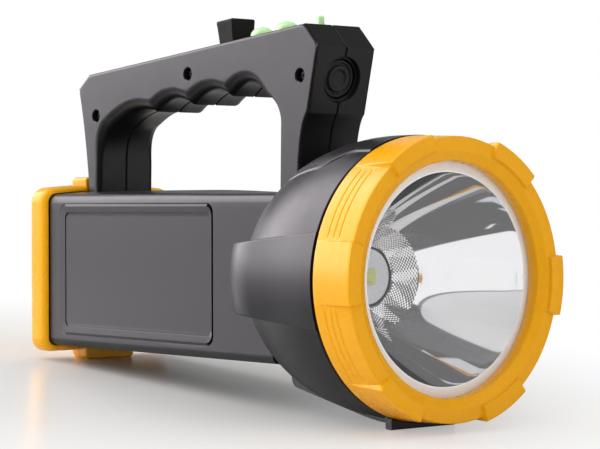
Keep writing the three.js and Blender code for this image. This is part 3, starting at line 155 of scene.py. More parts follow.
HANDLE_OUTER = [
    (0.048, 0), (0.031, 0.4), (0.0036, 0.665), (0, 0.715), (0.049, 0.803), (0.9465, 1),
    (1, 0.861), (0.963, 0.4675), (0.932, 0.399), (0.927, 0)]
GRIP_FRONT_FOOT = (0.859, 0)
GRIP_FRONT_COLUMN = (0.862, 0.433)
GRIP_ARCS = [
    ((0.856, 0.555), (0.8, 0.592)), ((0.716, 0.76), (0.6478, 0.6)), ((0.564, 0.705), (0.488, 0.563)),
    ((0.405, 0.668), (0.332, 0.531)), ((0.245, 0.6), (0.146, 0.46)), ((0.1, 0.42), (0.096, 0.25))]
GRIP_REAR_FOOT = (0.094, 0)
HANDLE_SCREWS = [(0.084, 0.523), (0.492, 0.754), (0.934, 0.693)]


# Small helpers

def smoothstep(value, low, high):
    t = min(1.0, max(0.0, (value - low) / (high - low)))
    return t * t * (3 - 2 * t)


def lerp(a, b, t):
    return a + (b - a) * t


def bezier(a, b, c, steps):
    points = []
    for i in range(1, steps + 1):
        t = i / steps
        u = 1 - t
        points.append(tuple(u * u * p + 2 * u * t * q + t * t * r for p, q, r in zip(a, b, c)))
    return points


def soften(points, reach, steps=4, closed=True):
    """Rounds the corners of an outline; reach is one number or one for each point."""
    result = []
    count = len(points)
    for i, point in enumerate(points):
        size = reach[i] if isinstance(reach, (list, tuple)) else reach
        if size <= 0 or (not closed and i in (0, count - 1)):
            result.append(tuple(point))
            continue
        here = Vector(point)
        to_before, to_after = Vector(points[i - 1]) - here, Vector(points[(i + 1) % count]) - here
        start = here + to_before.normalized() * min(size, 0.48 * to_before.length)
        end = here + to_after.normalized() * min(size, 0.48 * to_after.length)
        result.append(tuple(start))
        result += bezier(start, here, end, steps)
    return result


def polar(radius, angle):
    return (radius * math.cos(angle), radius * math.sin(angle))


def circle(radius, steps):
    return [polar(radius, 2 * math.pi * i / steps) for i in range(steps)]


def dome(base, height, radius, step, first=0):
    """The round end of a profile: a quarter ellipse that meets the axis."""
    angles = [math.radians(degrees) for degrees in range(first, 90, step)]
    return [(base + height * math.sin(a), radius * math.cos(a)) for a in angles] + [(base + height, 0)]


def rounded_rectangle(u0, u1, v0, v1, radius, steps=6):
    centres = [(u1 - radius, v0 + radius, -90), (u1 - radius, v1 - radius, 0),
               (u0 + radius, v1 - radius, 90), (u0 + radius, v0 + radius, 180)]
    points = []
    for u, v, start in centres:
        for i in range(steps + 1):
            angle = math.radians(start + 90 * i / steps)
            points.append((u + radius * math.cos(angle), v + radius * math.sin(angle)))
    return points


def cross_section(x, u0, u1, v0, v1, radius, steps=6):
    """A rounded rectangle in (y, z) at a place along the lamp axis."""
    return [(x, y, z) for y, z in rounded_rectangle(u0, u1, v0, v1, radius, steps)]


def box_section(x, grow, radius, steps=10):
    """The outline of the body at a place along the lamp axis, grown or shrunk."""
    half = BODY_HALF_WIDTH + grow
    return cross_section(x, -half, half, BODY_BOTTOM - grow, BODY_TOP + grow, radius, steps)


def add_object(name, data):
    obj = bpy.data.objects.new(name, data)
    bpy.context.scene.collection.objects.link(obj)
    return obj


def new_object(name, places, faces):
    mesh = bpy.data.meshes.new(name)
    mesh.from_pydata([tuple(place) for place in places], [], faces)
    made = bmesh.new()
    made.from_mesh(mesh)
    bmesh.ops.remove_doubles(made, verts=made.verts, dist=1e-4)
    bmesh.ops.recalc_face_normals(made, faces=made.faces)
    made.to_mesh(mesh)
    made.free()
    return add_object(name, mesh)


def loft(name, loops, closed=False):
    """A solid through loops of as many points each; closed joins the last loop to the first."""
    count = len(loops[0])
    places = [point for loop in loops for point in loop]
    faces = []
    pairs = [(k, k + 1) for k in range(len(loops) - 1)]
    if closed:
        pairs.append((len(loops) - 1, 0))
    for low, high in pairs:
        for i in range(count):
            j = (i + 1) % count
            faces.append((low * count + i, low * count + j, high * count + j, high * count + i))
    if not closed:
        faces.append(tuple(range(count)))
        faces.append(tuple(reversed(range((len(loops) - 1) * count, len(loops) * count))))
    return new_object(name, places, faces)


def lathe(name, profile, steps=128, closed=True):
    """A profile of (x, radius) turned about the lamp axis; points on the axis are poles."""
    places, rings, faces = [], [], []
    for x, radius in profile:
        spots = [(0.0, 0.0)] if radius < 1e-6 else circle(radius, steps)
        ring = [len(places) + i for i in range(len(spots))]
        places += [(x, y, z) for y, z in spots]
        rings.append(ring * (steps // len(ring)))
    pairs = list(zip(rings, rings[1:]))
    if closed:
        pairs.append((rings[-1], rings[0]))
    for low, high in pairs:
        for i in range(steps):
            j = (i + 1) % steps
            corners = [low[i], low[j], high[j], high[i]]
            face = [corner for k, corner in enumerate(corners) if corner not in corners[:k]]
            if len(face) > 2:
                faces.append(face)
    return new_object(name, places, faces)


def lathe_upright(name, profile, steps=64):
    """A profile of (height, radius) turned about the vertical through the origin."""
    made = lathe(name, profile, steps, closed=False)
    made.data.transform(Matrix.Rotation(-math.pi / 2, 4, "Y"))
    return made


def prism(name, outline, axis, start, end):
    """An outline drawn in (x, z) across Y, (y, z) across X or (x, y) across Z."""
    def place(point, along):
        u, v = point
        return {"x": (along, u, v), "y": (u, along, v), "z": (u, v, along)}[axis]
    return loft(name, [[place(point, along) for point in outline] for along in (start, end)])


def block(name, x0, x1, half_width, z0, z1):
    return prism(name, [(x0, z0), (x1, z0), (x1, z1), (x0, z1)], "y", -half_width, half_width)


def bar(name, axis, place, length, radius, steps=48):
    made = prism(name, circle(radius, steps), axis, 0.0, length)
    made.data.transform(Matrix.Translation(place))
    return made


def bake(obj):
    """Applies the modifiers of a piece."""
    depsgraph = bpy.context.evaluated_depsgraph_get()
    mesh = bpy.data.meshes.new_from_object(obj.evaluated_get(depsgraph))
    obj.modifiers.clear()
    old, obj.data = obj.data, mesh
    bpy.data.meshes.remove(old)
    return obj


def combine(obj, others, operation="DIFFERENCE"):
    for other in others:
        modifier = obj.modifiers.new("combine", "BOOLEAN")
        modifier.operation = operation
        modifier.solver = "EXACT"
        modifier.object = other
        bake(obj)
        mesh = other.data
        bpy.data.objects.remove(other)
        bpy.data.meshes.remove(mesh)
    return obj


def finish_piece(obj, slot, replaced, body="lamp", sharp=32.0, weighted=True, flat=()):
    """Moves a piece into the frame, gives it its material, hangs it on its body and hides the CAD parts it
    replaces. The faces in flat aren't shaded smooth.
    """
    mesh = obj.data
    mesh.transform(LAMP)
    mesh.update()
    mesh.shade_smooth()
    mesh.set_sharp_from_angle(angle=math.radians(sharp))
    for index in flat:
        mesh.polygons[index].use_smooth = False
    mesh.materials.clear()
    mesh.materials.append(MATERIALS[slot])
    if weighted:
        modifier = obj.modifiers.new("even_normals", "WEIGHTED_NORMAL")
        modifier.keep_sharp = True
        modifier.weight = 60
    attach(obj, body)
    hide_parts(*replaced)
    return obj


def add_material(obj, name, faces):
    """Gives some faces of a finished piece a second material."""
    obj.data.materials.append(MATERIALS[name])
    for index in faces:
        obj.data.polygons[index].material_index = 1


# Materials

MATERIALS = {}


def set_inputs(tree, node, inputs):
    """Gives a node's inputs their values, or links them to the outputs that feed them."""
    for key, value in inputs.items():
        if isinstance(value, bpy.types.NodeSocket):
            tree.links.new(value, node.inputs[key])
        else:
            node.inputs[key].default_value = value


def add_node(tree, kind, inputs, output=0, **settings):
    """Adds a node with its settings and inputs, and returns one of its outputs."""
    node = tree.nodes.new("ShaderNode" + kind)
    for name, value in settings.items():
        setattr(node, name, value)
    set_inputs(tree, node, inputs)
    return node.outputs[output]


def shader(name, color, roughness, metallic=0.0, **sockets):
    """Makes a material, and returns its nodes, its Principled shader and its object coordinates."""
    MATERIALS[name] = bpy.data.materials.new(name)
    MATERIALS[name].use_nodes = True
    tree = MATERIALS[name].node_tree
    principled = tree.nodes["Principled BSDF"]
    set_inputs(tree, principled, {"Base Color": (*color, 1.0), "Roughness": roughness, "Metallic": metallic})
    set_inputs(tree, principled, {socket.replace("_", " "): value for socket, value in sockets.items()})
    return tree, principled, add_node(tree, "TexCoord", {}, "Object")


def math_node(tree, operation, *values):
    return add_node(tree, "Math", dict(enumerate(values)), operation=operation)


def ramp(tree, value, low, high, to_low=0.0, to_high=1.0, shape="SMOOTHSTEP"):
    return add_node(tree, "MapRange", {
        "Value": value, "From Min": low, "From Max": high, "To Min": to_low, "To Max": to_high},
        interpolation_type=shape)


def noise(tree, place, scale, detail=2.0, roughness=0.5):
    return add_node(tree, "TexNoise", {
        "Vector": place, "Scale": scale, "Detail": detail, "Roughness": roughness}, "Fac")


def spread(tree, value, low, high, from_low=0.3, from_high=0.7):
    """Stretches the middle of a noise, or another stretch of a value, evenly between two values."""
    return ramp(tree, value, from_low, from_high, low, high, "LINEAR")


def blend_colors(tree, factor, *colors):
    low, high = [(*color, 1.0) if isinstance(color, tuple) else color for color in colors]
    return add_node(tree, "Mix", {0: factor, 6: low, 7: high}, 2, data_type="RGBA")


def bump(tree, principled, height, strength, distance):
    normal = add_node(tree, "Bump", {"Strength": strength, "Distance": distance, "Height": height})
    set_inputs(tree, principled, {"Normal": normal})


def moulded(name, low, high, roughness, change, grain_scale, grain_strength, grain_depth, **sockets):
    """Moulded plastic or rubber: a slow drift of colour and gloss and a fine spark-eroded grain."""
    tree, principled, place = shader(name, low, roughness, **sockets)
    wear = noise(tree, place, 210.0, 4.0, 0.6)
    set_inputs(tree, principled, {
        "Base Color": blend_colors(tree, noise(tree, place, 28.0), low, high),
        "Roughness": spread(tree, wear, roughness - change, roughness + change)})
    bump(tree, principled, noise(tree, place, grain_scale, 2.0, 0.6), grain_strength, grain_depth)


def metallic(name, low, high, roughness, stretch, scale=900.0):
    """Metal with fine drawn or cast marks, stretched along one axis."""
    tree, principled, place = shader(name, low, roughness, metallic=1.0)
    marks = noise(tree, add_node(tree, "Mapping", {"Vector": place, "Scale": stretch}), scale, 3.0)
    set_inputs(tree, principled, {
        "Base Color": blend_colors(tree, marks, low, high),
        "Roughness": spread(tree, marks, roughness - 0.06, roughness + 0.1)})
    bump(tree, principled, marks, 0.08, 0.00005)


def mirror(name, color):
    """Vacuum metallised plastic: almost a mirror, with the faint waviness of the moulding under it."""
    tree, principled, place = shader(name, color, 0.03, metallic=1.0)
    slow = noise(tree, place, 90.0)
    set_inputs(tree, principled, {"Roughness": spread(tree, slow, 0.02, 0.05)})
    bump(tree, principled, slow, 0.02, 0.0002)


def clear_window(name, color):
    """A mirror as faint as glass reflects, stronger at grazing angles, and nothing else."""
    tree, principled, place = shader(name, color, 0.01, metallic=1.0)
    grazing = math_node(tree, "POWER", add_node(tree, "LayerWeight", {}, "Facing"), 5.0)
    set_inputs(tree, principled, {
        "Alpha": math_node(tree, "MULTIPLY_ADD", grazing, 0.96, 0.03),
        "Roughness": spread(tree, noise(tree, place, 60.0), 0.004, 0.02)})


def board(name, mask, dark, scale):
    """Solder mask over copper: cells a little lighter than the gaps between them."""
    tree, principled, place = shader(name, mask, 0.35, Coat_Weight=0.3, Coat_Roughness=0.15)
    cells = add_node(tree, "TexVoronoi", {"Vector": place, "Scale": scale}, "Distance", distance="CHEBYCHEV")
    set_inputs(tree, principled, {
        "Base Color": blend_colors(tree, spread(tree, cells, 0.0, 1.0, 0.1, 0.5), dark, mask)})
    bump(tree, principled, cells, 0.1, 0.00003)


def make_materials():
    moulded("black_plastic", (0.0055, 0.005, 0.006), (0.0075, 0.007, 0.008), 0.33, 0.035,
            2600.0, 0.2, 0.00008, IOR=1.38)
    moulded("yellow_plastic", (0.84, 0.375, 0.0015), (0.88, 0.405, 0.003), 0.27, 0.03,
            2200.0, 0.06, 0.00005, IOR=1.38, Specular_Tint=(1.0, 0.92, 0.62, 1.0))
    moulded("black_rubber", (0.01, 0.01, 0.011), (0.016, 0.016, 0.017), 0.6, 0.06, 2400.0, 0.3, 0.00008)
    moulded("knob_plastic", (0.007, 0.007, 0.006), (0.01, 0.0095, 0.008), 0.65, 0.04,
            2600.0, 0.2, 0.00006, IOR=1.27)
    moulded("green_plastic", (0.48, 0.84, 0.36), (0.56, 0.88, 0.44), 0.28, 0.04, 2200.0, 0.06, 0.00005)
    moulded("holder_plastic", (0.02, 0.02, 0.022), (0.03, 0.03, 0.032), 0.5, 0.05, 2400.0, 0.2, 0.00006)
    moulded("cell_wrap", (0.03, 0.15, 0.45), (0.035, 0.17, 0.5), 0.3, 0.04, 900.0, 0.12, 0.0001)
    moulded("phosphor", (0.62, 0.66, 0.2), (0.78, 0.78, 0.3), 0.3, 0.05, 2600.0, 0.15, 0.00005)
    moulded("bare_rim", (0.9, 0.94, 0.99), (0.92, 0.96, 0.99), 0.3, 0.04, 2200.0, 0.05, 0.00005)
    metallic("sink_aluminium", (0.58, 0.59, 0.6), (0.68, 0.69, 0.7), 0.34, (1.0, 1.0, 0.08))
    metallic("screw_steel", (0.03, 0.03, 0.033), (0.055, 0.055, 0.06), 0.42, (1.0, 1.0, 1.0), 1500.0)
    metallic("switch_steel", (0.48, 0.48, 0.48), (0.58, 0.58, 0.57), 0.3, (0.15, 1.0, 1.0))
    mirror("mirror_coating", (0.92, 0.92, 0.93))
    clear_window("clear_lens", (0.97, 0.98, 0.98))
    board("lamp_board", (0.8, 0.79, 0.84), (0.74, 0.73, 0.78), 900.0)
    board("circuit_board", (0.02, 0.13, 0.05), (0.012, 0.09, 0.035), 420.0)


# Head, body and foot

def flare_radius(x, start=FLARE_START, radius=HEAD_RADIUS, length=FLARE_LENGTH, drop=FLARE_DROP):
    share = min(1.0, max(0.0, (start - x) / length))
    return radius - drop * (1 - math.sqrt(1 - share * share))


def ground_under(x):
    return FOOT_BOTTOM + (FOOT_FRONT - x) * math.tan(REST_TILT)


def make_head():
    steps = 30
    last = FLARE_START - FLARE_LAST_SHARE * FLARE_LENGTH
    flare = [lerp(FLARE_START, last, i / steps) for i in range(steps + 1)]
    outer = [(x, flare_radius(x)) for x in flare]
    inner = [(x, flare_radius(x) - HEAD_WALL) for x in reversed(flare)]
    front = soften([
        (NECK_FRONT, NECK_RADIUS - NECK_WALL), (NECK_FRONT, NECK_RADIUS), (HEAD_SHOULDER, NECK_RADIUS),
        (HEAD_SHOULDER, HEAD_RADIUS), outer[0]], [0, 0.3, 0.2, 0.6, 0], 4, closed=False)
    rear = [(HEAD_SHOULDER - 2 * HEAD_WALL, HEAD_RADIUS - HEAD_WALL),
            (HEAD_SHOULDER - 2 * HEAD_WALL, NECK_RADIUS - NECK_WALL)]
    head = lathe("head_shell", front + outer[1:] + inner + rear, 192)
    finish_piece(head, "black_plastic", ["body_housing"])


def make_fairings():
    rear = FAIRING_FLARE_START - FAIRING_FLARE_LENGTH
    corner = FAIRING_REAR_HALF / 2
    fillet, depth = FAIRING_FILLET, FAIRING_DEPTH
    places = [lerp(HEAD_SHOULDER, FAIRING_FLARE_START, i / 12) for i in range(12)]
    places += [FAIRING_FLARE_START - FAIRING_FLARE_LENGTH * math.sin(math.radians(degrees))
               for degrees in range(0, 90, 3)]
    places.append(rear)
    for side, name in ((-1, "right_fairing"), (1, "left_fairing")):
        loops = []
        for x in places:
            if x > rear + corner:
                share = (HEAD_SHOULDER - x) / (HEAD_SHOULDER - rear - corner)
                half = lerp(FAIRING_FRONT_HALF, FAIRING_REAR_HALF, share)
            else:
                half = FAIRING_REAR_HALF - corner * (1 - math.sqrt(max(0.0, x - rear) / corner)) ** 2
            rise = FAIRING_RISE * (1 - smoothstep(HEAD_SHOULDER - x, 0, FAIRING_RISE_LENGTH))
            radius = rise + flare_radius(
                x, FAIRING_FLARE_START, FAIRING_RADIUS, FAIRING_FLARE_LENGTH, FAIRING_FLARE_DROP)

            def surface(z):
                return math.sqrt(radius * radius - z * z)
            edge = surface(half - fillet)
            wall = [(half, edge - depth), (half, edge - fillet)]
            rounding = bezier((half, edge - fillet), (half, edge - 0.05), (half - fillet, edge), 4)
            levels = [lerp(half - fillet, fillet - half, i / 20) for i in range(1, 20)]
            crown = [(z, surface(z)) for z in levels]
            top = wall + rounding
            section = top + crown + [(-z, y) for z, y in reversed(top)]
            loops.append([(x, side * y, z) for z, y in section])
        finish_piece(loft(name, loops), "black_plastic", ["body_housing"], sharp=40.0)


def make_saddle():
    """A thin raised plate on top of the head, under the front column, narrower towards the bezel."""
    loops = []
    for i in range(37):
        x = lerp(HEAD_SHOULDER, SADDLE_REAR, i / 36)
        half = lerp(SADDLE_FRONT_ANGLE, SADDLE_REAR_ANGLE, smoothstep(-x, *SADDLE_STEP))
        top = flare_radius(x) + SADDLE_HEIGHT
        edge = [(half + 0.9, top - SADDLE_ROOT), (half + 0.7, top - SADDLE_HEIGHT),
                (half + 0.12, top - 0.16), (half - 0.5, top)]
        crown = [(angle, top) for angle in (lerp(half - 0.5, 0.5 - half, k / 24) for k in range(1, 24))]
        section = edge + crown + [(-angle, radius) for angle, radius in reversed(edge)]
        section += [(lerp(-half - 0.9, half + 0.9, k / 12), top - SADDLE_ROOT) for k in range(1, 12)]
        loops.append([(x, radius * math.sin(math.radians(angle)), radius * math.cos(math.radians(angle)))
                      for angle, radius in section])
    finish_piece(loft("head_saddle", loops), "black_plastic", ["body_housing"], sharp=30.0)


def panel_cutter(side):
    """A very shallow panel: a faint slope that ends in a fine line, and a deep line along the front edge."""
    line = PANEL_SLOPE - 0.55
    levels = [
        (-0.25, -5.0, 0, 0), (-0.25, -0.02, 0, 0), (0.0, 0.02, 0, 0), (0.06, 0.04, 1, 0), (0.5, 0.05, 1, 0),
        (0.94, 0.06, 1, 0), (1.0, 0.06, 0, 0), (line, 0.16, 0, 0), (line + 0.08, 0.17, 0, 1),
        (line + 0.45, 0.2, 0, 1), (line + 0.53, 0.22, 0, 0), (PANEL_SLOPE + 1.0, PANEL_DEPTH - 0.1, 0, 0)]
    loops = []
    for offset, depth, front_line, inner_line in levels:
        outline = rounded_rectangle(
            PANEL_REAR + offset, PANEL_FRONT - min(offset, 1.0 + 0.02 * offset),
            -PANEL_HALF_HEIGHT + offset, PANEL_HALF_HEIGHT - offset, PANEL_CORNER - max(offset, 0) * 0.4, 8)
        loop = []
        for x, z in outline:
            front = smoothstep(x, PANEL_FRONT - 4.2, PANEL_FRONT - 1.8)
            rear = smoothstep(-x, -PANEL_REAR - 5.0, -PANEL_REAR - 3.0)
            fine = lerp(lerp(0.75 if z > 0 else 0.2, 1.0, rear), 0.0, front)
            lines = front_line * front * PANEL_FRONT_LINE_DEPTH + inner_line * fine * PANEL_LINE_DEPTH
            loop.append((x, side * (BODY_HALF_WIDTH - (depth + lines)), z))
        loops.append(loop)
    return loft("panel_cutter", loops)


def crown_top(obj):
    """Arches the top of the body's rear part or of the cap, straight up as the lamp stands."""
    made = bmesh.new()
    made.from_mesh(obj.data)
    cuts = [(y, (0, 1, 0)) for y in range(-24, 25, 4)]
    cuts += [(z, (0, 0, 1)) for z in range(CROWN_LEVELS[0], CROWN_LEVELS[1] + 1, 2)]
    cuts += [(x, (1, 0, 0)) for x in range(-CROWN_ENDS[1], 1 - CROWN_ENDS[0], 5)]
    for place, normal in cuts:
        bmesh.ops.bisect_plane(made, geom=made.verts[:] + made.edges[:] + made.faces[:],
                               plane_co=place * Vector(normal), plane_no=normal)
    upwards = TURN.inverted().to_3x3() @ Vector((0, 0, 1))
    for vertex in made.verts:
        across = max(0.0, 1 - (vertex.co.y / BODY_HALF_WIDTH) ** 2)
        share = smoothstep(vertex.co.z, *CROWN_LEVELS) * smoothstep(-vertex.co.x, *CROWN_ENDS)
        vertex.co += upwards * (CROWN_RISE * across * share)
    made.to_mesh(obj.data)
    made.free()


def make_body():
    body = loft("body_shell", [
        box_section(BODY_REAR, 0, BODY_CORNER, 8), box_section(BODY_FRONT, 0, BODY_CORNER, 8),
        box_section(BODY_FRONT, -BODY_WALL, BODY_INNER_CORNER, 8),
        box_section(BODY_REAR, -BODY_WALL, BODY_INNER_CORNER, 8)], closed=True)
    crown_top(body)
    combine(body, [panel_cutter(-1), panel_cutter(1)])
    finish_piece(body, "black_plastic", ["body_housing"], sharp=28.0)


def make_foot():
    pad_rear = FOOT_FRONT - FOOT_PAD_LENGTH
    keel = prism("keel_and_foot", soften([
        (FOOT_FRONT, KEEL_TOP), (FOOT_FRONT, ground_under(FOOT_FRONT)), (pad_rear, ground_under(pad_rear)),
        (KEEL_REAR, KEEL_REAR_BOTTOM), (KEEL_REAR, KEEL_TOP)], [0, 0.6, 6, 3, 0], 6),
        "y", -KEEL_HALF_WIDTH, KEEL_HALF_WIDTH)
    rear = FOOT_FRONT - FOOT_BAR
    cross = prism("foot_bar", soften([
        (FOOT_FRONT, KEEL_TOP), (FOOT_FRONT, ground_under(FOOT_FRONT)), (rear, ground_under(rear)),
        (rear, KEEL_TOP)], [0, 0.5, 0.5, 0], 3), "y", -FOOT_HALF_WIDTH, FOOT_HALF_WIDTH)
    under = BEZEL_REAR_RADIUS + FIT
    inside = [lerp(HEAD_SHOULDER, KEEL_REAR + 1, i / 20) for i in range(21)]
    room = lathe("room", [(5, 0), (5, under), (HEAD_SHOULDER, under)]
                 + [(x, flare_radius(x) - 1.2) for x in inside] + [(inside[-1], 0)], 160, closed=False)
    combine(keel, [cross], "UNION")
    combine(keel, [room])
    modifier = keel.modifiers.new("bevel", "BEVEL")
    modifier.width = FOOT_BEVEL
    modifier.segments = 2
    modifier.limit_method = "ANGLE"
    modifier.angle_limit = math.radians(50)
    bake(keel)
    finish_piece(keel, "black_plastic", ["body_housing"])


# Bezel

def bezel_profiles():
    """The ring's section between lugs and through a lug, point for point, and the grooves' shares."""
    ring, lug, groove = [], [], []

    def add(ring_point, lug_point=None, groove_share=0.0):
        ring.append(ring_point)
        lug.append(lug_point or ring_point)
        groove.append(groove_share)

    def side(x, groove_share=0.0):
        t = (x + BEZEL_DEPTH) / (BEZEL_FACE + BEZEL_DEPTH)
        add((x, lerp(BEZEL_REAR_RADIUS, BEZEL_FRONT_RADIUS, t)),
            (lerp(-BEZEL_DEPTH, LUG_FRONT, t), lerp(BEZEL_REAR_RADIUS, LUG_RADIUS, t)), groove_share)

    add((-BEZEL_DEPTH, NECK_RADIUS + FIT))
    add((-BEZEL_DEPTH, BEZEL_REAR_RADIUS - 0.45))
    add((-BEZEL_DEPTH + 0.13, BEZEL_REAR_RADIUS - 0.13))
    add((-BEZEL_DEPTH + 0.45, BEZEL_REAR_RADIUS))
    side(-12.2)
    for place in GROOVE_PLACES:
        for offset, share in GROOVE_SHARES:
            side(place + offset * GROOVE_HALF_WIDTH, share)
    side(-2.4)
    side(0.2)
    side(BEZEL_FACE - 0.75)
    add((BEZEL_FACE - 0.22, BEZEL_FRONT_RADIUS - 0.16), (LUG_FRONT - 0.2, LUG_RADIUS - 0.2))
    add((BEZEL_FACE, BEZEL_FRONT_RADIUS - 0.75), (LUG_FRONT, LUG_RADIUS - 0.8))
    add((BEZEL_FACE, LUG_FACE_RADIUS + 0.7), (LUG_FRONT, LUG_FACE_RADIUS + 0.7))
    add((BEZEL_FACE, LUG_FACE_RADIUS + 0.2), (LUG_FRONT - 0.25, LUG_FACE_RADIUS + 0.18))
    add((BEZEL_FACE, LUG_FACE_RADIUS), (LUG_FRONT - 0.7, LUG_FACE_RADIUS))
    add((BEZEL_FACE, LUG_FACE_RADIUS - 0.12), (BEZEL_FACE + 0.1, LUG_FACE_RADIUS - 0.12))
    add((BEZEL_FACE, BEZEL_RIDGE_RADIUS + 0.35))
    add((BEZEL_FACE - 0.12, BEZEL_RIDGE_RADIUS))
    add((BEZEL_FACE - 0.42, BEZEL_RIDGE_RADIUS - 0.4))
    add((0.22, MOUTH_RADIUS + 0.42))
    add((-0.05, MOUTH_RADIUS + 0.12))
    add((-0.4, MOUTH_RADIUS))
    add((-BEZEL_LIP_DEPTH, MOUTH_RADIUS))
    add((-BEZEL_LIP_DEPTH, FLANGE_RADIUS + FIT))
    add((FLANGE_REAR, FLANGE_RADIUS + FIT))
    add((FLANGE_REAR, NECK_RADIUS + FIT))
    return ring, lug, groove


def lug_share(angle, widen=0.0):
    """1 on a lug, 0 between two lugs; the angle is in degrees from +Y towards +Z."""
    pitch = 360 / LUG_COUNT
    off = abs((angle - LUG_TURN + pitch / 2) % pitch - pitch / 2)
    edge = LUG_HALF_ANGLE + widen
    return 1 - smoothstep(off, edge - LUG_WALL_ANGLE, edge + LUG_WALL_ANGLE)


def bezel_angles():
    """Close together where the lugs' walls stand and where the grooves run out."""
    pitch = 360 / LUG_COUNT
    walls = [share * LUG_WALL_ANGLE for share in (-1.0, -0.6, -0.25, 0.25, 0.6, 1.0)] + [1.2, 1.6, 2.1, 3.2]
    offsets = [sign * (LUG_HALF_ANGLE + extra) for sign in (-1, 1) for extra in walls]
    offsets += [k * 1.9 for k in range(-6, 7)]
    offsets += [16.0 + k * (pitch - 32.0) / 15 for k in range(1, 15)]
    return sorted({round((LUG_TURN + i * pitch + offset) % 360, 4)
                   for i in range(LUG_COUNT) for offset in offsets})


def make_bezel():
    ring, lug, groove = bezel_profiles()
    loops = []
    for angle in bezel_angles():
        share = lug_share(angle)
        fade = 1 - lug_share(angle, 1.6)
        turn = math.radians(angle)
        loop = []
        for (x0, r0), (x1, r1), cut in zip(ring, lug, groove):
            radius = lerp(r0, r1, share) - GROOVE_DEPTH * cut * fade
            loop.append((lerp(x0, x1, share), *polar(radius, turn)))
        loops.append(loop)
    finish_piece(loft("bezel_body", loops, closed=True), "yellow_plastic", ["bezel_ring"], sharp=38.0)


def make_bezel_seal():
    inner, front = NECK_RADIUS + FIT, -BEZEL_DEPTH - SEAL_GAP
    rear = front - SEAL_THICKNESS
    section = [(front, inner), (front, SEAL_RADIUS), (rear, SEAL_RADIUS), (rear, inner)]
    seal = lathe("bezel_seal_body", soften(section, [0, 0.35, 0.35, 0], 3), 160)
    finish_piece(seal, "black_rubber", ["bezel_seal"])


# Lens, reflector and lamp

def make_lens():
    lens = lathe("front_window", soften([
        (LENS_FRONT, 0), (LENS_FRONT, LENS_RADIUS), (LENS_REAR, LENS_RADIUS), (LENS_REAR, 0)],
        [0, 0.3, 0.3, 0], 2, closed=False), 160, closed=False)
    finish_piece(lens, "clear_lens", ["front_lens"])


def bowl_x(radius):
    span = BOWL_MOUTH_RADIUS ** 2 - BOWL_HOLE_RADIUS ** 2
    return BOWL_REAR + (BOWL_FRONT - BOWL_REAR) * (radius ** 2 - BOWL_HOLE_RADIUS ** 2) / span


def bowl_normal(radius):
    """Unit (x, radial) direction out of the bowl's mirror side."""
    slope = 2 * radius * (BOWL_FRONT - BOWL_REAR) / (BOWL_MOUTH_RADIUS ** 2 - BOWL_HOLE_RADIUS ** 2)
    return Vector((1.0, -slope)).normalized()


def make_reflector():
    """Diamond facets round the lamp, then the smooth bowl, its sloping rim, the flange and the back."""
    places, faces = [], []
    turns = 2 * FACET_COUNT
    radii = [lerp(BOWL_HOLE_RADIUS, FACET_OUTER_RADIUS, (row / FACET_ROWS) ** 0.85)
             for row in range(FACET_ROWS + 1)]

    def add(x, radius, step):
        places.append((x, *polar(radius, 2 * math.pi * step / turns)))
        return len(places) - 1

    lattice = []
    for row, radius in enumerate(radii):
        ends = row in (0, FACET_ROWS)
        lattice.append([add(bowl_x(radius), radius, step) if ends or step % 2 == row % 2 else None
                        for step in range(turns)])
    for row in range(1, FACET_ROWS):
        swell = bowl_normal(radii[row]) * FACET_SWELL
        for step in range(1 - row % 2, turns, 2):
            centre = add(bowl_x(radii[row]) + swell.x, radii[row] + swell.y, step)
            corners = [lattice[row][step - 1], lattice[row - 1][step],
                       lattice[row][(step + 1) % turns], lattice[row + 1][step]]
            faces += [(corners[k], corners[(k + 1) % 4], centre) for k in range(4)]
    for row, other in ((0, 1), (FACET_ROWS, FACET_ROWS - 1)):
        for step in range(1, turns, 2):
            around = lattice[row]
            faces.append((around[step - 1], around[step], lattice[other][step]))
            faces.append((around[step], around[(step + 1) % turns], lattice[other][step]))
    steps = 26
    profile = [(bowl_x(radius), radius) for radius in
               (lerp(FACET_OUTER_RADIUS, BOWL_MOUTH_RADIUS - 0.25, i / steps) for i in range(1, steps + 1))]
    profile += [(BOWL_FRONT - 0.02, BOWL_MOUTH_RADIUS - 0.05), (BOWL_FRONT, BOWL_MOUTH_RADIUS + 0.12),
                (BOWL_FRONT - 0.08, BOWL_MOUTH_RADIUS + 0.35), (FLANGE_FRONT + 0.1, LENS_RADIUS - 0.3),
                (FLANGE_FRONT, LENS_RADIUS + 0.1), (FLANGE_FRONT, FLANGE_RADIUS),
                (FLANGE_REAR, FLANGE_RADIUS)]
    back = [(bowl_x(radius) - 0.2, radius + BOWL_WALL) for radius in
            (lerp(BOWL_MOUTH_RADIUS, BOWL_HOLE_RADIUS, i / 16) for i in range(17))]
    profile += [point for point in back if point[0] < FLANGE_REAR]
    rings = [lattice[FACET_ROWS]]
    rings += [[add(x, radius, step) for step in range(turns)] for x, radius in profile]
    rings.append(lattice[0])
    for low, high in zip(rings, rings[1:]):
        for step in range(turns):
            after = (step + 1) % turns
            faces.append((low[step], low[after], high[after], high[step]))
    reflector = new_object("reflector_bowl", places, faces)
    flat, bare = [], []
    for polygon in reflector.data.polygons:
        radius = math.hypot(polygon.center.y, polygon.center.z)
        if radius < FACET_OUTER_RADIUS and len(polygon.vertices) == 3:
            flat.append(polygon.index)
        if radius > BOWL_MOUTH_RADIUS + 0.1 and polygon.center.x > FLANGE_FRONT - 0.01:
            bare.append(polygon.index)
    finish_piece(reflector, "mirror_coating", ["reflector"], weighted=False, flat=flat)
    add_material(reflector, "bare_rim", bare)


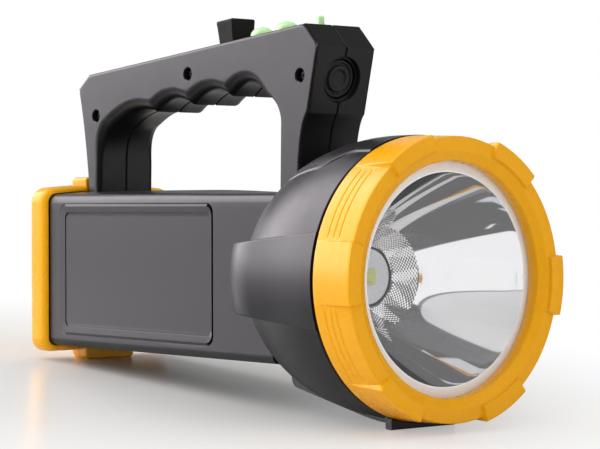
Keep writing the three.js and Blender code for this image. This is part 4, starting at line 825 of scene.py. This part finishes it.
def make_led():
    """The round board, white inside a low black bead and black outside it, and the chip with its dome."""
    back, bead = LED_FRONT - LED_THICKNESS, LED_FRONT + LED_BEAD_HEIGHT
    disc = lathe("led_disc", [
        (LED_FRONT, 0), (LED_FRONT, LED_BEAD_INNER), (bead, LED_BEAD_INNER + 0.1),
        (bead, LED_BEAD_OUTER - 0.1), (LED_FRONT, LED_BEAD_OUTER), (LED_FRONT, LED_RADIUS - LED_EDGE),
        (LED_FRONT - LED_EDGE, LED_RADIUS), (back, LED_RADIUS), (back, 0)], 96, closed=False)
    rim = [polygon.index for polygon in disc.data.polygons
           if math.hypot(polygon.center.y, polygon.center.z) > LED_WHITE_RADIUS]
    finish_piece(disc, "lamp_board", ["led_board"])
    add_material(disc, "holder_plastic", rim)
    base = LED_FRONT + FIT
    front = base + CHIP_HEIGHT
    levels = ((base, CHIP_HALF), (front - CHIP_EDGE, CHIP_HALF), (front, CHIP_HALF - CHIP_EDGE))
    chip = loft("led_chip", [
        cross_section(x, -half, half, -half, half, CHIP_CORNER, 5) for x, half in levels])
    profile = [(front - 0.05, 0), (front - 0.05, CHIP_DOME_RADIUS)]
    profile += dome(front, CHIP_DOME_HEIGHT, CHIP_DOME_RADIUS, 9, 9)
    combine(chip, [lathe("led_dome", profile, 48, closed=False)], "UNION")
    finish_piece(chip, "phosphor", ["led_emitter"])


# Rear cap


def cap_screw_places():
    return [(y, z) for y in (CAP_SCREW_INSET - BODY_HALF_WIDTH, BODY_HALF_WIDTH - CAP_SCREW_INSET)
            for z in (BODY_BOTTOM + CAP_SCREW_INSET, BODY_TOP - CAP_SCREW_INSET)]


def lug_sections(inner, outer):
    """Loops of a lug along the lamp axis; without an outer height it ends on the ground."""
    loops = []
    stations = [(CAP_FRONT, 0.7), (CAP_FRONT - 0.25, 0.3), (CAP_FRONT - 0.8, 0.0), (CAP_REAR + 1.3, 0.0),
                (CAP_REAR + 0.5, 0.3), (CAP_REAR, 1.2)]
    for x, inset in stations:
        end = ground_under(x) + inset if outer is None else outer - inset
        width = CAP_LUG_HALF_WIDTH - inset * 0.6
        low, high = sorted((inner, end))
        loops.append(cross_section(x, -width, width, low, high, CAP_LUG_CORNER))
    return loops


def make_cap():
    levels = [(CAP_FRONT, 0.55, 3.4), (CAP_FRONT - 0.25, 1.1, 3.9), (CAP_FRONT - 0.9, 1.75, 4.4),
              (CAP_FRONT - 2.0, 2.25, 4.8), (CAP_FRONT - 3.2, CAP_OVERHANG, CAP_CORNER)]
    for i in range(9):
        angle = math.radians(90 * i / 8)
        drop = CAP_EDGE * (1 - math.cos(angle))
        levels.append((CAP_REAR + CAP_EDGE * (1 - math.sin(angle)), CAP_OVERHANG - drop,
                       CAP_CORNER - 0.9 * drop))
    cap = loft("rear_cap_body", [box_section(*level) for level in levels])
    socket = loft("cap_socket", [
        box_section(x, FIT, BODY_CORNER) for x in (CAP_SOCKET, CAP_FRONT + CUT_OVERRUN)])
    top, bottom = BODY_TOP + CAP_OVERHANG, BODY_BOTTOM - CAP_OVERHANG
    lugs = [loft("lug_top", lug_sections(top - CAP_LUG_ROOT, top + CAP_LUG_HEIGHT)),
            loft("lug_low", lug_sections(bottom + CAP_LUG_ROOT, None))]
    depths = ((-3, -0.15), (-0.02, -0.15), (0.12, 0), (0.85, 0.12), (CAP_RECESS_DEPTH, 0.35))
    grow = CAP_OVERHANG - CAP_RECESS_MARGIN
    recess = loft("cap_recess", [
        box_section(CAP_REAR + depth, grow - inset, CAP_CORNER - inset, 8) for depth, inset in depths])
    combine(cap, lugs, "UNION")
    crown_top(cap)
    crown_top(socket)
    holes = []
    for y, z in cap_screw_places():
        start = (CAP_REAR - CUT_OVERRUN, y, z)
        holes.append(bar("seat", "x", start, CUT_OVERRUN + CAP_SEAT_DEPTH, SCREW_SEAT_RADIUS, 40))
        holes.append(bar("bore", "x", start, CUT_OVERRUN + CAP_BORE_DEPTH, SCREW_BORE_RADIUS, 24))
    combine(cap, [socket, recess] + holes)
    finish_piece(cap, "yellow_plastic", ["rear_cap"], sharp=34.0)


def cross_screw(name, place, across, replaced):
    """A pan-head screw with a cross recess, pointing along X, or along Y if it goes across."""
    screw = lathe(name, [
        (0.0, 0), (0.0, 1.15), (0.12, 1.5), (0.42, 1.85), (0.8, SCREW_HEAD_RADIUS),
        (SCREW_HEAD_HEIGHT, SCREW_HEAD_RADIUS), (SCREW_HEAD_HEIGHT, SCREW_SHAFT_RADIUS),
        (SCREW_LENGTH, SCREW_SHAFT_RADIUS), (SCREW_LENGTH + 0.9, 0)], 40, closed=False)
    for turn in (0.4, 0.4 + math.pi / 2):
        slot = loft("slot", [
            [(-0.5, -1.35, -0.24), (-0.5, 1.35, -0.24), (-0.5, 1.35, 0.24), (-0.5, -1.35, 0.24)],
            [(0.75, -0.6, -0.18), (0.75, 0.6, -0.18), (0.75, 0.6, 0.18), (0.75, -0.6, 0.18)]])
        slot.data.transform(Matrix.Rotation(turn, 4, "X"))
        combine(screw, [slot])
    if across:
        screw.data.transform(Matrix.Rotation(math.pi / 2, 4, "Z"))
    screw.data.transform(Matrix.Translation(place))
    finish_piece(screw, "screw_steel", [replaced], sharp=30.0)


def make_cap_screws():
    for i, (y, z) in enumerate(cap_screw_places(), 1):
        cross_screw("cap_screw_body_%d" % i, (CAP_REAR + FIT, y, z), False, "rear_cap_screw_%d" % i)


# Handle

def handle_point(share):
    along, up = share
    return (lerp(HANDLE_REAR, HANDLE_NOSE, along), lerp(HANDLE_FOOT, HANDLE_TOP, up))


def grip_fillet(point):
    """How far the edge between the grip side and the side face is rounded at a point."""
    along = (point[0] - HANDLE_REAR) / (HANDLE_NOSE - HANDLE_REAR)
    up = (point[1] - HANDLE_FOOT) / (HANDLE_TOP - HANDLE_FOOT)
    rise = smoothstep(GRIP_FILLET_START - along, 0, GRIP_FILLET_START - GRIP_FILLET_FULL)
    return lerp(FRONT_COLUMN_FILLET, lerp(COLUMN_FILLET, GRIP_FILLET, smoothstep(up, 0.2, 0.46)), rise)


def handle_outline(curve, line_step):
    """The outline's points, and its edges with the rounding at both ends; None along the feet."""
    outer = [handle_point(share) for share in HANDLE_OUTER]
    front_foot, rear_foot = handle_point(GRIP_FRONT_FOOT), handle_point(GRIP_REAR_FOOT)
    runs = [("outer", [outer[0]] + bezier(outer[0], outer[1], outer[2], curve))]
    runs += [("outer", [a, b]) for a, b in zip(outer[2:7], outer[3:8])]
    runs.append(("outer", [outer[7]] + bezier(outer[7], outer[8], outer[9], curve)))
    runs.append(("foot", [outer[9], front_foot]))
    here = handle_point(GRIP_FRONT_COLUMN)
    runs.append(("grip", [front_foot, here]))
    for control, end in GRIP_ARCS:
        runs.append(("grip", [here] + bezier(here, handle_point(control), handle_point(end), curve)))
        here = handle_point(end)
    runs.append(("grip", [here, rear_foot]))
    runs.append(("foot", [rear_foot, outer[0]]))
    points, kinds = [], []
    for kind, run in runs:
        for a, b in zip(run, run[1:]):
            pieces = max(1, round(math.dist(a, b) / line_step))
            for k in range(pieces):
                points.append((lerp(a[0], b[0], k / pieces), lerp(a[1], b[1], k / pieces)))
                kinds.append(kind)
    rounding = {"outer": lambda point: HANDLE_EDGE, "grip": grip_fillet}
    edges = []
    for i, kind in enumerate(kinds):
        if kind == "foot":
            edges.append(None)
        else:
            edges.append((rounding[kind](points[i]), rounding[kind](points[(i + 1) % len(points)])))
    return points, edges


def nearest(point, outline, edges):
    """Distance from a point to the outline's rounded edges, and the rounding where it is nearest."""
    best, found = 1e9, 0.0
    px, pz = point
    for i, edge in enumerate(edges):
        if edge is None:
            continue
        ax, az = outline[i]
        bx, bz = outline[(i + 1) % len(outline)]
        dx, dz = bx - ax, bz - az
        t = min(1.0, max(0.0, ((px - ax) * dx + (pz - az) * dz) / (dx * dx + dz * dz)))
        gap = (px - ax - t * dx) ** 2 + (pz - az - t * dz) ** 2
        if gap < best:
            best, found = gap, lerp(edge[0], edge[1], t)
    return math.sqrt(best), found


def outline_normals(outline):
    """Unit directions into an outline at its points, and how much longer a mitred offset is there."""
    area = sum(a[0] * b[1] - b[0] * a[1] for a, b in zip(outline, outline[1:] + outline[:1]))
    sign = 1 if area > 0 else -1
    normals = []
    for i, point in enumerate(outline):
        here = Vector(point)
        first = (here - Vector(outline[i - 1])).normalized()
        second = (Vector(outline[(i + 1) % len(outline)]) - here).normalized()
        total = first + second
        normal = Vector((-total.y, total.x)).normalized() * sign
        cosine = max(0.45, normal.dot(Vector((-first.y, first.x))) * sign)
        normals.append((normal, 1 / cosine))
    return normals


def inset_outline(outline, distance):
    """An outline moved inwards, without the points that would lie too near another part of it."""
    edges = [(0.0, 0.0)] * len(outline)
    moved = []
    for (x, z), (normal, stretch) in zip(outline, outline_normals(outline)):
        spot = (x + normal.x * distance * stretch, z + normal.y * distance * stretch)
        if nearest(spot, outline, edges)[0] > distance - 0.03:
            moved.append(spot)
    return moved


def handle_half(name, side):
    outline, edges = handle_outline(10, 2.2)
    count = len(outline)
    normals = outline_normals(outline)
    flat = [Vector(point) for point in outline]
    for degrees in (16, 32, 48, 62, 76, 90):
        share = 1 - math.cos(math.radians(degrees))
        for i, ((x, z), (normal, stretch)) in enumerate(zip(outline, normals)):
            if edges[i] is None and edges[i - 1] is None:
                continue
            depth = share * (edges[i] or (edges[i - 1][1], 0))[0]
            if edges[i] is None or edges[i - 1] is None:
                foot = edges[i] is None
                ahead = Vector(outline[(i + 1) % count] if foot else outline[i - 1]) - Vector((x, z))
                spot = Vector((x, z)) + ahead.normalized() * depth
                flat.append(spot + Vector((0, 1e-3)))
                continue
            spot = (x + normal.x * depth * stretch, z + normal.y * depth * stretch)
            gap, _ = nearest(spot, outline, edges)
            if gap > depth - 0.03 and spot[1] > HANDLE_FOOT + 0.05:
                flat.append(Vector(spot))

    def height(point):
        gap, radius = nearest(point, outline, edges)
        lack = max(0.0, radius - gap)
        return HANDLE_HALF - radius + math.sqrt(max(0.0, radius * radius - lack * lack))
    ring = [(i, (i + 1) % count) for i in range(count)]
    spots, _, triangles, sources, _, _ = geometry.delaunay_2d_cdt(flat, ring, [], 1, 1e-4)
    places = [(spot.x, side * height(spot), spot.y) for spot in spots]
    faces = [tuple(triangle) for triangle in triangles]
    edge_loop = [0] * count
    for index, source in enumerate(sources):
        for value in source:
            if value < count:
                edge_loop[value] = index
    wall_start = len(places)
    places += [(x, side * (HANDLE_SPLIT + SEAM_CHAMFER), z) for x, z in outline]
    seam_start = len(places)
    seam = [(x + normal.x * SEAM_CHAMFER, z + normal.y * SEAM_CHAMFER)
            for (x, z), (normal, stretch) in zip(outline, normals)]
    places += [(x, side * HANDLE_SPLIT, z) for x, z in seam]
    for i in range(count):
        j = (i + 1) % count
        faces.append((edge_loop[i], edge_loop[j], wall_start + j, wall_start + i))
        faces.append((wall_start + i, wall_start + j, seam_start + j, seam_start + i))
    flat = [Vector(point) for point in seam]
    _, _, triangles, sources, _, _ = geometry.delaunay_2d_cdt(flat, ring, [], 1, 1e-5)
    for triangle in triangles:
        faces.append(tuple(seam_start + sources[index][0] for index in triangle))
    return new_object(name, places, faces)


def handle_cavity():
    """The room inside the shells, with the cup of the charging port and the screw posts standing in it."""
    outline, _ = handle_outline(5, 5.0)
    half = HANDLE_HALF - HANDLE_WALL
    cavity = prism("cavity", inset_outline(outline, HANDLE_WALL), "y", -half, half)
    cup = bar("cup", "x", (-POCKET_DEPTH - CUP_WALL, 0, 0), POCKET_DEPTH + 6, POCKET_RADIUS + CUP_WALL, 32)
    posts = []
    for share in HANDLE_SCREWS:
        x, z = handle_point(share)
        posts.append(bar("post", "y", (x, -half - 1, z), 2 * half + 2, POST_RADIUS, 24))
    return combine(cavity, [on_nose(cup)] + posts)


def top_height(x):
    rear, front = handle_point(HANDLE_OUTER[4]), handle_point(HANDLE_OUTER[5])
    return rear[1] + (x - rear[0]) * (front[1] - rear[1]) / (front[0] - rear[0])


TOP_TILT = math.atan2(top_height(HANDLE_NOSE) - top_height(HANDLE_REAR), HANDLE_NOSE - HANDLE_REAR)
NOSE_UPPER, NOSE_LOWER = handle_point(HANDLE_OUTER[6]), handle_point(HANDLE_OUTER[7])
NOSE_LEAN = math.atan2(NOSE_UPPER[0] - NOSE_LOWER[0], NOSE_UPPER[1] - NOSE_LOWER[1])


def on_top(obj, x):
    """Moves a piece drawn about the origin, +Z out of the face, on to the handle's top face."""
    obj.data.transform(Matrix.Translation((x, 0, top_height(x))) @ Matrix.Rotation(-TOP_TILT, 4, "Y"))
    return obj


def on_nose(obj):
    """Moves a piece drawn about the origin, +X out of the face, on to the handle's nose."""
    height = lerp(HANDLE_FOOT, HANDLE_TOP, PORT_HEIGHT_SHARE)
    share = (height - NOSE_LOWER[1]) / (NOSE_UPPER[1] - NOSE_LOWER[1])
    x = lerp(NOSE_LOWER[0], NOSE_UPPER[0], share)
    obj.data.transform(Matrix.Translation((x, 0, height)) @ Matrix.Rotation(NOSE_LEAN, 4, "Y"))
    return obj


def top_hole(radius):
    return lathe_upright("top_hole", [
        (-5, 0), (-5, radius), (-0.3, radius), (0.0, radius + 0.25), (7, radius + 0.25), (7, 0)], 62)


def screw_hole(share):
    wide = SCREW_HOLE_RADIUS + HOLE_CHAMFER
    hole = lathe("screw_hole", [
        (-5, 0), (-5, wide), (0, wide), (HOLE_CHAMFER, SCREW_HOLE_RADIUS),
        (SCREW_HEAD_DEPTH, SCREW_HOLE_RADIUS), (SCREW_HEAD_DEPTH, SCREW_BORE_RADIUS),
        (14, SCREW_BORE_RADIUS), (14, 0)], 48, closed=False)
    x, z = handle_point(share)
    hole.data.transform(Matrix.Translation((x, -HANDLE_HALF, z)) @ Matrix.Rotation(math.pi / 2, 4, "Z"))
    return hole


def handle_cutters(side):
    """The openings of one half of the handle."""
    pocket = lathe("pocket", [
        (5, 0), (5, POCKET_RADIUS + 0.3), (0.0, POCKET_RADIUS + 0.3), (-0.35, POCKET_RADIUS),
        (-POCKET_STEP, POCKET_RADIUS - 0.05), (-POCKET_STEP - 0.12, POCKET_RADIUS - 0.2),
        (-POCKET_STEP - 0.12, POCKET_STEP_RADIUS + 0.12), (-POCKET_STEP - 0.25, POCKET_STEP_RADIUS),
        (-POCKET_DEPTH, POCKET_STEP_RADIUS), (-POCKET_DEPTH, 0)], 96, closed=False)
    half, low, high = PORT_HALF_WIDTH, PORT_BOTTOM, PORT_TOP
    window = prism("window", [(-half, low), (half, low), (half, high), (-half, high)], "x", PORT_REAR, -1.0)
    stem = STEM_HALF_LENGTH + FIT
    slot = block("knob_slot", -stem, stem + KNOB_TRAVEL, STEM_HALF_WIDTH + FIT, -6.0, 5.0)
    cutters = [on_top(top_hole(BUTTON_RADIUS + FIT), x) for x in BUTTON_PLACES]
    cutters.append(on_top(top_hole(PILOT_RADIUS + FIT), PILOT_PLACE))
    cutters += [on_nose(pocket), on_nose(window), on_top(slot, KNOB_PLACE)]
    if side < 0:
        cutters += [screw_hole(share) for share in HANDLE_SCREWS]
    steps = [lerp(HEAD_SHOULDER + 3, -74, i / 24) for i in range(25)]
    cutters.append(lathe("head_clearance", [(steps[0], 0)] + [(x, flare_radius(x) + FIT) for x in steps]
                         + [(steps[-1], 0)], 160, closed=False))
    return cutters


def make_handle():
    for node, side in (("handle_right", -1), ("handle_left", 1)):
        half = handle_half(node + "_half", side)
        combine(half, handle_cutters(side))
        combine(half, [handle_cavity()])
        finish_piece(half, "black_plastic", [node], sharp=26.0)


def make_handle_screws():
    top = -HANDLE_HALF + SCREW_HEAD_DEPTH - SCREW_HEAD_HEIGHT - FIT
    for i, share in enumerate(HANDLE_SCREWS, 1):
        x, z = handle_point(share)
        cross_screw("handle_screw_body_%d" % i, (x, top, z), True, "handle_screw_%d" % i)


# Switches

def knob_loop(z, half, wide, radius, crown):
    """One level of the knob, whose top rises a little towards its middle."""
    points = rounded_rectangle(-half, half, -wide, wide, radius, 5)
    return [(x, y, z + crown * (1 - (y / wide) ** 2) * (1 - 0.3 * abs(x / half))) for x, y in points]


def make_knob():
    half, wide, waist = KNOB_LENGTH / 2, KNOB_WIDTH / 2, KNOB_WAIST
    loops = []
    for z, t in ((FIT, 0.0), (2.5, 0.25), (5.0, 0.5), (7.4, 0.78), (KNOB_HEIGHT - KNOB_SHOULDER, 1.0)):
        loops.append(knob_loop(z, half - waist * (1 - t), wide - waist * (1 - t), 0.4, 0.0))
    for drop, inset, radius, crown in ((1.0, 0.05, 0.4, 0.3), (0.75, 0.25, 0.35, 0.5), (0.62, 0.8, 0.3, 0.6),
                                       (0.55, 2.1, 0.3, 0.55)):
        loops.append(knob_loop(KNOB_HEIGHT - drop, half - inset, wide - inset, radius, crown))
    knob = loft("slide_knob", loops)
    stem, shutter, actuator = STEM_HALF_LENGTH, SHUTTER_HALF_LENGTH, ACTUATOR_HALF
    joint = UNDER_FACE - SHUTTER_THICKNESS / 2
    combine(knob, [
        block("stem", -stem, stem, STEM_HALF_WIDTH, joint, FIT + 1.0),
        block("shutter", -shutter, shutter, SHUTTER_HALF_WIDTH, UNDER_FACE - SHUTTER_THICKNESS, UNDER_FACE),
        block("actuator", -actuator, actuator, actuator, ACTUATOR_END, joint)], "UNION")
    finish_piece(on_top(knob, KNOB_PLACE), "knob_plastic", ["switch_knob"], body="knob", sharp=40.0)


def make_buttons():
    start, flange = BUTTON_DOME_START, UNDER_FACE - BUTTON_FLANGE
    profile = [
        (BUTTON_STEM_END, 0), (BUTTON_STEM_END, BUTTON_STEM_RADIUS), (flange, BUTTON_STEM_RADIUS),
        (flange, BUTTON_FLANGE_RADIUS), (UNDER_FACE, BUTTON_FLANGE_RADIUS), (UNDER_FACE, BUTTON_RADIUS),
        (BUTTON_RIM - 0.3, BUTTON_RADIUS), (BUTTON_RIM, BUTTON_RADIUS - 0.3),
        (BUTTON_RIM + 0.1, BUTTON_DOME_RADIUS + 0.1), (start - 0.6, BUTTON_DOME_RADIUS)]
    profile += dome(start, BUTTON_HEIGHT - start, BUTTON_DOME_RADIUS, 6)
    for place, x in zip(("rear", "front"), BUTTON_PLACES):
        button = on_top(lathe_upright(place + "_push_button", profile, 72), x)
        finish_piece(button, "green_plastic", [place + "_button"], body="button_" + place, weighted=False)


def make_pilot():
    radius, flange, start = PILOT_RADIUS, UNDER_FACE - PILOT_FLANGE, PILOT_HEIGHT - PILOT_DOME
    profile = [
        (PILOT_END, 0), (PILOT_END, radius), (flange, radius), (flange, PILOT_FLANGE_RADIUS),
        (UNDER_FACE, PILOT_FLANGE_RADIUS), (UNDER_FACE, radius), (start, radius)]
    profile += dome(start, PILOT_DOME, radius, 10, 10)
    pilot = on_top(lathe_upright("pilot_rod", profile, 48), PILOT_PLACE)
    finish_piece(pilot, "green_plastic", ["pilot_light"], weighted=False)


def make_plug():
    seat = -POCKET_DEPTH + FIT
    face = seat + PLUG_THICKNESS
    profile = soften([
        (seat, 0), (seat, PLUG_RADIUS), (face, PLUG_RADIUS), (face, 5.5), (face - 0.5, 5.2),
        (face - 0.5, 4.6), (face + 0.45, 4.3), (face + 0.45, 3.2), (face - 0.2, 2.6), (face - 0.2, 0)],
        [0, 0.2, 0.45, 0.15, 0.15, 0.15, 0.25, 0.3, 0.3, 0], 3, closed=False)
    plug = lathe("plug_disc", profile, 96, closed=False)
    outline = rounded_rectangle(-TONGUE_HALF_WIDTH, TONGUE_HALF_WIDTH, TONGUE_BOTTOM, TONGUE_TOP, 0.3, 3)
    tongue = prism("tongue", outline, "x", seat - TONGUE_LENGTH, seat + 0.9)
    combine(plug, [tongue], "UNION")
    finish_piece(on_nose(plug), "black_rubber", ["charge_plug"], body="plug", sharp=35.0)


def dress_nodes():
    """Gives the CAD nodes that stay their procedural materials."""
    for entry in frame["record"]["subparts"]:
        mesh = frame["nodes"][entry["node"]].data
        mesh.materials.clear()
        mesh.materials.append(MATERIALS[entry["material_slot"]])


# Studio

def make_camera():
    cos_pitch = math.cos(CAMERA_PITCH)
    ahead = Vector((
        -math.sin(CAMERA_YAW) * cos_pitch, math.cos(CAMERA_YAW) * cos_pitch, -math.sin(CAMERA_PITCH)))
    right = Vector((math.cos(CAMERA_YAW), math.sin(CAMERA_YAW), 0.0))
    up = right.cross(ahead)
    c, s = math.cos(CAMERA_ROLL), math.sin(CAMERA_ROLL)
    turned_right, turned_up = right * c + up * s, up * c - right * s
    axes = Matrix((turned_right, turned_up, -ahead)).transposed().to_4x4()
    data = bpy.data.cameras.new("camera")
    data.sensor_width = CAMERA_SENSOR
    data.lens = CAMERA_LENS
    data.clip_start, data.clip_end = 0.01, 20.0
    camera = add_object("camera", data)
    camera.matrix_world = Matrix.Translation(LAMP @ CAMERA_PLACE) @ TURN @ axes
    bpy.context.scene.camera = camera


def softbox(name, offset, size, power):
    data = bpy.data.lights.new(name, "AREA")
    data.shape = "RECTANGLE"
    data.size, data.size_y = size
    data.energy = power
    box = add_object(name, data)
    box.visible_glossy = False
    box.location = LIT_PLACE + offset
    box.rotation_euler = (-offset).to_track_quat("-Z", "Y").to_euler()


def make_lights():
    softbox("key_softbox", KEY_OFFSET, KEY_SIZE, KEY_POWER)
    softbox("top_softbox", TOP_OFFSET, TOP_SIZE, TOP_POWER)


def background(tree, strength, color=WHITE):
    return add_node(tree, "Background", {"Color": (*color, 1.0), "Strength": strength})


def choose(tree, factor, first, second):
    return add_node(tree, "MixShader", {0: factor, 1: first, 2: second})


def make_world():
    """White to the camera and even on matt surfaces; gloss shows a studio of panels and a darker room."""
    world = bpy.data.worlds.new("studio")
    bpy.context.scene.world = world
    world.use_nodes = True
    world.cycles.sampling_method = "NONE"
    tree = world.node_tree
    place = add_node(tree, "TexCoord", {}, "Generated")

    def part(*direction):
        return add_node(tree, "VectorMath", {0: place, 1: direction}, "Value", operation="DOT_PRODUCT")

    def within(value, low, high, edge):
        """1 between two angles in degrees and 0 outside them, with a soft edge."""
        rise = ramp(tree, value, math.radians(low - edge), math.radians(low + edge))
        fall = ramp(tree, value, math.radians(high - edge), math.radians(high + edge), 1.0, 0.0)
        return math_node(tree, "MULTIPLY", rise, fall)

    c, s = math.cos(HEADING_SEAM), math.sin(HEADING_SEAM)
    heading = math_node(tree, "ARCTAN2", part(s, c, 0), part(c, -s, 0))
    heading = math_node(tree, "SUBTRACT", heading, HEADING_SEAM)
    height = math_node(tree, "ARCSINE", part(0, 0, 1))
    shown = background(tree, STUDIO_SIDES)
    for headings, heights, strength, color in STUDIO_WINDOWS:
        inside = math_node(tree, "MULTIPLY", within(heading, *headings), within(height, *heights))
        shown = choose(tree, inside, shown, background(tree, strength, color))
    path = tree.nodes.new("ShaderNodeLightPath")
    lit = choose(tree, path.outputs["Is Glossy Ray"], background(tree, STUDIO_FILL), shown)
    seen = choose(tree, path.outputs["Is Camera Ray"], lit, background(tree, 1.0))
    set_inputs(tree, tree.nodes["World Output"], {"Surface": seen})


def make_floor():
    """A round pale table that turns white for the camera away from under the lamp; glossy rays see a painted
    grey reflection of it, dark along its rim and in front of its near edge.
    """
    floor = lathe_upright("table_top", [(0.0, radius) for radius in TABLE_RINGS], 96)
    tree, principled, place = shader("pale_table", (0.86, 0.845, 0.83), 0.22)
    path = tree.nodes.new("ShaderNodeLightPath")
    glossy = path.outputs["Is Glossy Ray"]
    slow = noise(tree, place, 3.0)
    pale = blend_colors(tree, slow, (0.85, 0.835, 0.82), (0.87, 0.855, 0.84))
    reach = add_node(tree, "VectorMath", {0: place}, "Value", operation="LENGTH")
    depth = add_node(tree, "SeparateXYZ", {"Vector": place}, "Y")
    # Painted reflection: glossy rays see the table grey, and dark along its rim and in front of its near
    # edge.
    rim = ramp(tree, reach, *TABLE_RIM)
    near = ramp(tree, depth, *TABLE_NEAR_EDGE, 1.0, 0.0)
    dark = math_node(tree, "MAXIMUM", rim, near)
    painted_reflection = blend_colors(tree, dark, (0.62, 0.62, 0.62), (0.12, 0.12, 0.12))
    set_inputs(tree, principled, {
        "Base Color": blend_colors(tree, glossy, pale, painted_reflection),
        "Roughness": spread(tree, slow, 0.2, 0.26),
        "Specular IOR Level": math_node(tree, "MULTIPLY_ADD", glossy, -0.4, 0.5)})
    white = add_node(tree, "Emission", {"Color": (*WHITE, 1.0), "Strength": 1.0})
    away = add_node(tree, "VectorMath", {0: place, 1: FADE_CENTRE}, "Value", operation="DISTANCE")
    fade = math_node(tree, "MULTIPLY", ramp(tree, away, *FADE_REACH), path.outputs["Is Camera Ray"])
    shown = choose(tree, fade, principled.outputs[0], white)
    set_inputs(tree, tree.nodes["Material Output"], {"Surface": shown})
    floor.data.materials.append(MATERIALS["pale_table"])


make_materials()
dress_nodes()
make_head()
make_fairings()
make_saddle()
make_body()
make_foot()
make_bezel()
make_bezel_seal()
make_lens()
make_reflector()
make_led()
make_cap()
make_cap_screws()
make_handle()
make_handle_screws()
make_knob()
make_buttons()
make_pilot()
make_plug()
make_camera()
make_floor()
make_lights()
make_world()
bpy.context.scene.view_settings.view_transform = "Standard"
